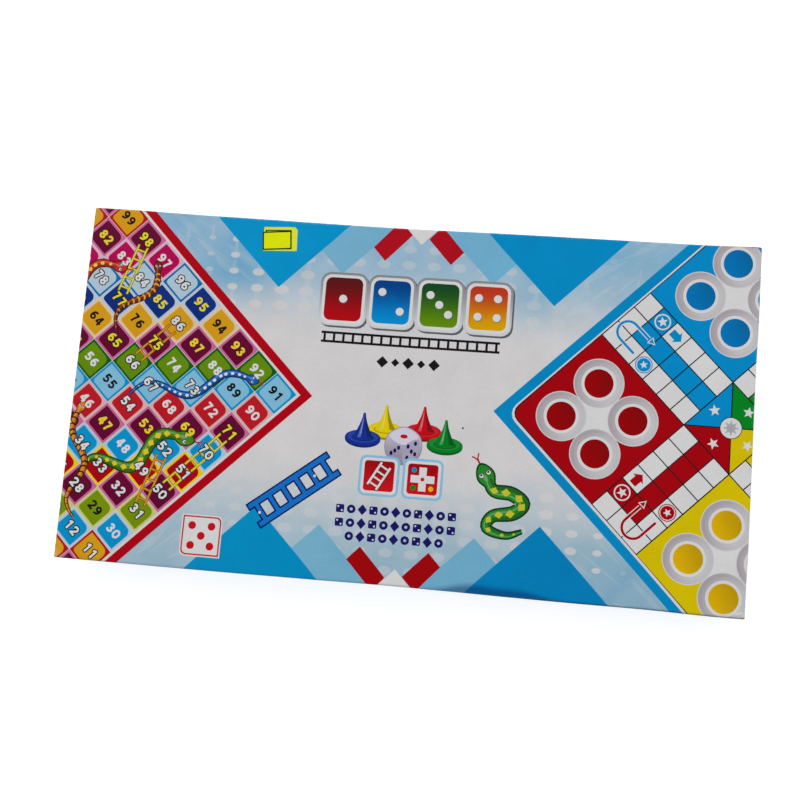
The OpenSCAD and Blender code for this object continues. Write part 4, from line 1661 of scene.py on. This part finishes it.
def make_die():
    low, high = box_mm("die_body")
    half = (high[0] - low[0]) / 2
    centre = (low + high) / 2
    made = bmesh.new()
    bmesh.ops.create_cube(made, size=2 * half * MM)
    bmesh.ops.bevel(made, geom=list(made.edges) + list(made.verts), offset=DIE_EDGE * MM,
                    segments=DIE_EDGE_STEPS, profile=0.5, affect="EDGES")
    die = put("ivory_die", finished(made, "die"), centre)
    cutter_r = (PIP_R ** 2 + DIMPLE ** 2) / (2 * DIMPLE)
    centres, paint = [], bmesh.new()
    for count, axis, side in FACES:
        right, up, outward = face_frame(axis, side)
        spots = []
        pips(Pen(spots), count, PIP_PITCH, PIP_R, BLACK)
        for _, (spot,) in spots:
            px, py = spot.mean(0)
            on_face = right * px + up * py + outward * half
            centres.append(on_face + outward * (cutter_r - DIMPLE))
            add_cap(paint, on_face, right, up, outward, cutter_r)
    cutter = put("cutters", balls_mesh(centres, cutter_r), centre)
    bpy.context.view_layer.update()
    cut = die.modifiers.new("dimples", "BOOLEAN")
    cut.operation, cut.object, cut.solver = "DIFFERENCE", cutter, "EXACT"
    bpy.context.view_layer.update()
    final = bpy.data.meshes.new_from_object(die.evaluated_get(bpy.context.evaluated_depsgraph_get()))
    die.modifiers.clear()
    die.data = final
    bpy.data.objects.remove(cutter)
    final.shade_smooth()
    final.set_sharp_from_angle(angle=math.radians(32))
    final.materials.clear()
    final.materials.append(plastic_material("die_plastic", DIE_INK, 0.3))
    place(die, "die", "die_plastic", "die_body")
    bmesh.ops.recalc_face_normals(paint, faces=paint.faces)
    paint_mesh = finished(paint, "die_spots")
    paint_mesh.shade_smooth()
    paint_mesh.materials.append(plastic_material("pip_paint", PIP_INK, 0.45))
    place(put("black_spots", paint_mesh, centre), "die", "pip_paint", "die_pips")


def balls_mesh(centres, radius):
    """Round balls as one mesh. Each has its rings of places from the top down, then its two poles."""
    turns, levels = CUTTER_TURNS, CUTTER_LEVELS
    spots = [(math.sin(b) * math.cos(a), math.sin(b) * math.sin(a), math.cos(b))
             for b in math.pi * np.arange(1, levels) / levels for a in 2 * np.pi * np.arange(turns) / turns]
    ball = np.array(spots + [(0, 0, 1), (0, 0, -1)]) * radius
    north, south, last = len(ball) - 2, len(ball) - 1, (levels - 2) * turns
    faces = []
    for k in range(turns):
        after = (k + 1) % turns
        faces += [(a + k, a + turns + k, a + turns + after, a + after) for a in range(0, last, turns)]
        faces += [(k, after, north), (last + after, last + k, south)]
    places = np.concatenate([(centre + ball) * MM for centre in centres])
    all_faces = [[n * len(ball) + i for i in face] for n in range(len(centres)) for face in faces]
    mesh = bpy.data.meshes.new("balls")
    mesh.from_pydata(places.tolist(), [], all_faces)
    return mesh


def add_cap(made, middle, right, up, outward, ball):
    """A thin closed lens of paint on the floor of a dimple."""
    def ring(share, lift):
        r = PAINT_SHARE * PIP_R * share
        sink = ball - math.sqrt(ball ** 2 - r ** 2) - DIMPLE + lift * (1 - share ** 6) + PAINT_CLEAR
        places = [middle + right * r * math.cos(a) + up * r * math.sin(a) + outward * sink
                  for a in 2 * np.pi * np.arange(PAINT_TURNS) / PAINT_TURNS]
        return [made.verts.new(Vector(p) * MM) for p in places]

    rim = ring(1.0, 0.0)
    for lift in (PAINT_T, 0.0):
        last = rim
        for share in (0.75, 0.5, 0.25):
            own = ring(share, lift)
            for k in range(PAINT_TURNS):
                made.faces.new([last[k - 1], last[k], own[k], own[k - 1]])
            last = own
        centre = made.verts.new(Vector(middle + outward * (lift - DIMPLE + PAINT_CLEAR)) * MM)
        for k in range(PAINT_TURNS):
            made.faces.new([last[k - 1], last[k], centre])


make_die()


# Floor, backdrop and light

def seen_share(tree):
    """1 for rays that the camera, a mirror or glass sends, and 0 for those that only carry light."""
    path = tree.nodes.new("ShaderNodeLightPath")
    total = path.outputs["Is Camera Ray"]
    for name in ("Is Glossy Ray", "Is Transmission Ray"):
        total = maths(tree, "MAXIMUM", total, path.outputs[name])
    return total


AMBIENT = 0.62
FLOOR_GLOW = 0.5


def make_world():
    world = bpy.data.worlds.new("studio")
    bpy.context.scene.world = world
    world.use_nodes = True
    tree = world.node_tree
    level = ramp(tree, seen_share(tree), 0, 1, AMBIENT, 1.0)
    background = tree.nodes["Background"]
    background.inputs["Color"].default_value = (1, 1, 1, 1)
    tree.links.new(level, background.inputs["Strength"])


FLOOR_REACH_M = 6.0
FLOOR_DROP = 0.05
FLOOR_SHADE, FLOOR_ROUGHNESS = 0.86, 0.9
# Each lamp's name, its place in metres, its power and its side
LAMPS = (("key", (-1.32, 2.4, 2.76), 66.0, 2.1), ("fill", (2.16, -0.84, 2.64), 17.0, 2.4))


def make_floor():
    mesh = bpy.data.meshes.new("floor")
    corners = [(x * FLOOR_REACH_M, y * FLOOR_REACH_M, -FLOOR_DROP * MM)
               for x, y in ((-1, -1), (1, -1), (1, 1), (-1, 1))]
    mesh.from_pydata(corners, [], [(0, 1, 2, 3)])
    made, tree, shader = material("floor", FLOOR_ROUGHNESS, 0.0)
    shader.inputs["Base Color"].default_value = (FLOOR_SHADE, FLOOR_SHADE, FLOOR_SHADE, 1)
    shader.inputs["Emission Color"].default_value = (1, 1, 1, 1)
    glow = ramp(tree, seen_share(tree), 0, 1, 0.0, FLOOR_GLOW)
    tree.links.new(glow, shader.inputs["Emission Strength"])
    mesh.materials.append(made)
    put("floor", mesh)


def make_lamp(name, place_m, power, size):
    """A square lamp that faces the origin, at a place in metres."""
    data = bpy.data.lights.new(name, "AREA")
    data.energy, data.size = power, size
    lamp = bpy.data.objects.new(name, data)
    lamp.location = place_m
    lamp.rotation_euler = (-Vector(place_m)).to_track_quat("-Z", "Y").to_euler()
    bpy.context.scene.collection.objects.link(lamp)


make_world()
make_floor()
for lamp in LAMPS:
    make_lamp(*lamp)

scene = bpy.context.scene
scene.view_settings.view_transform = "Standard"
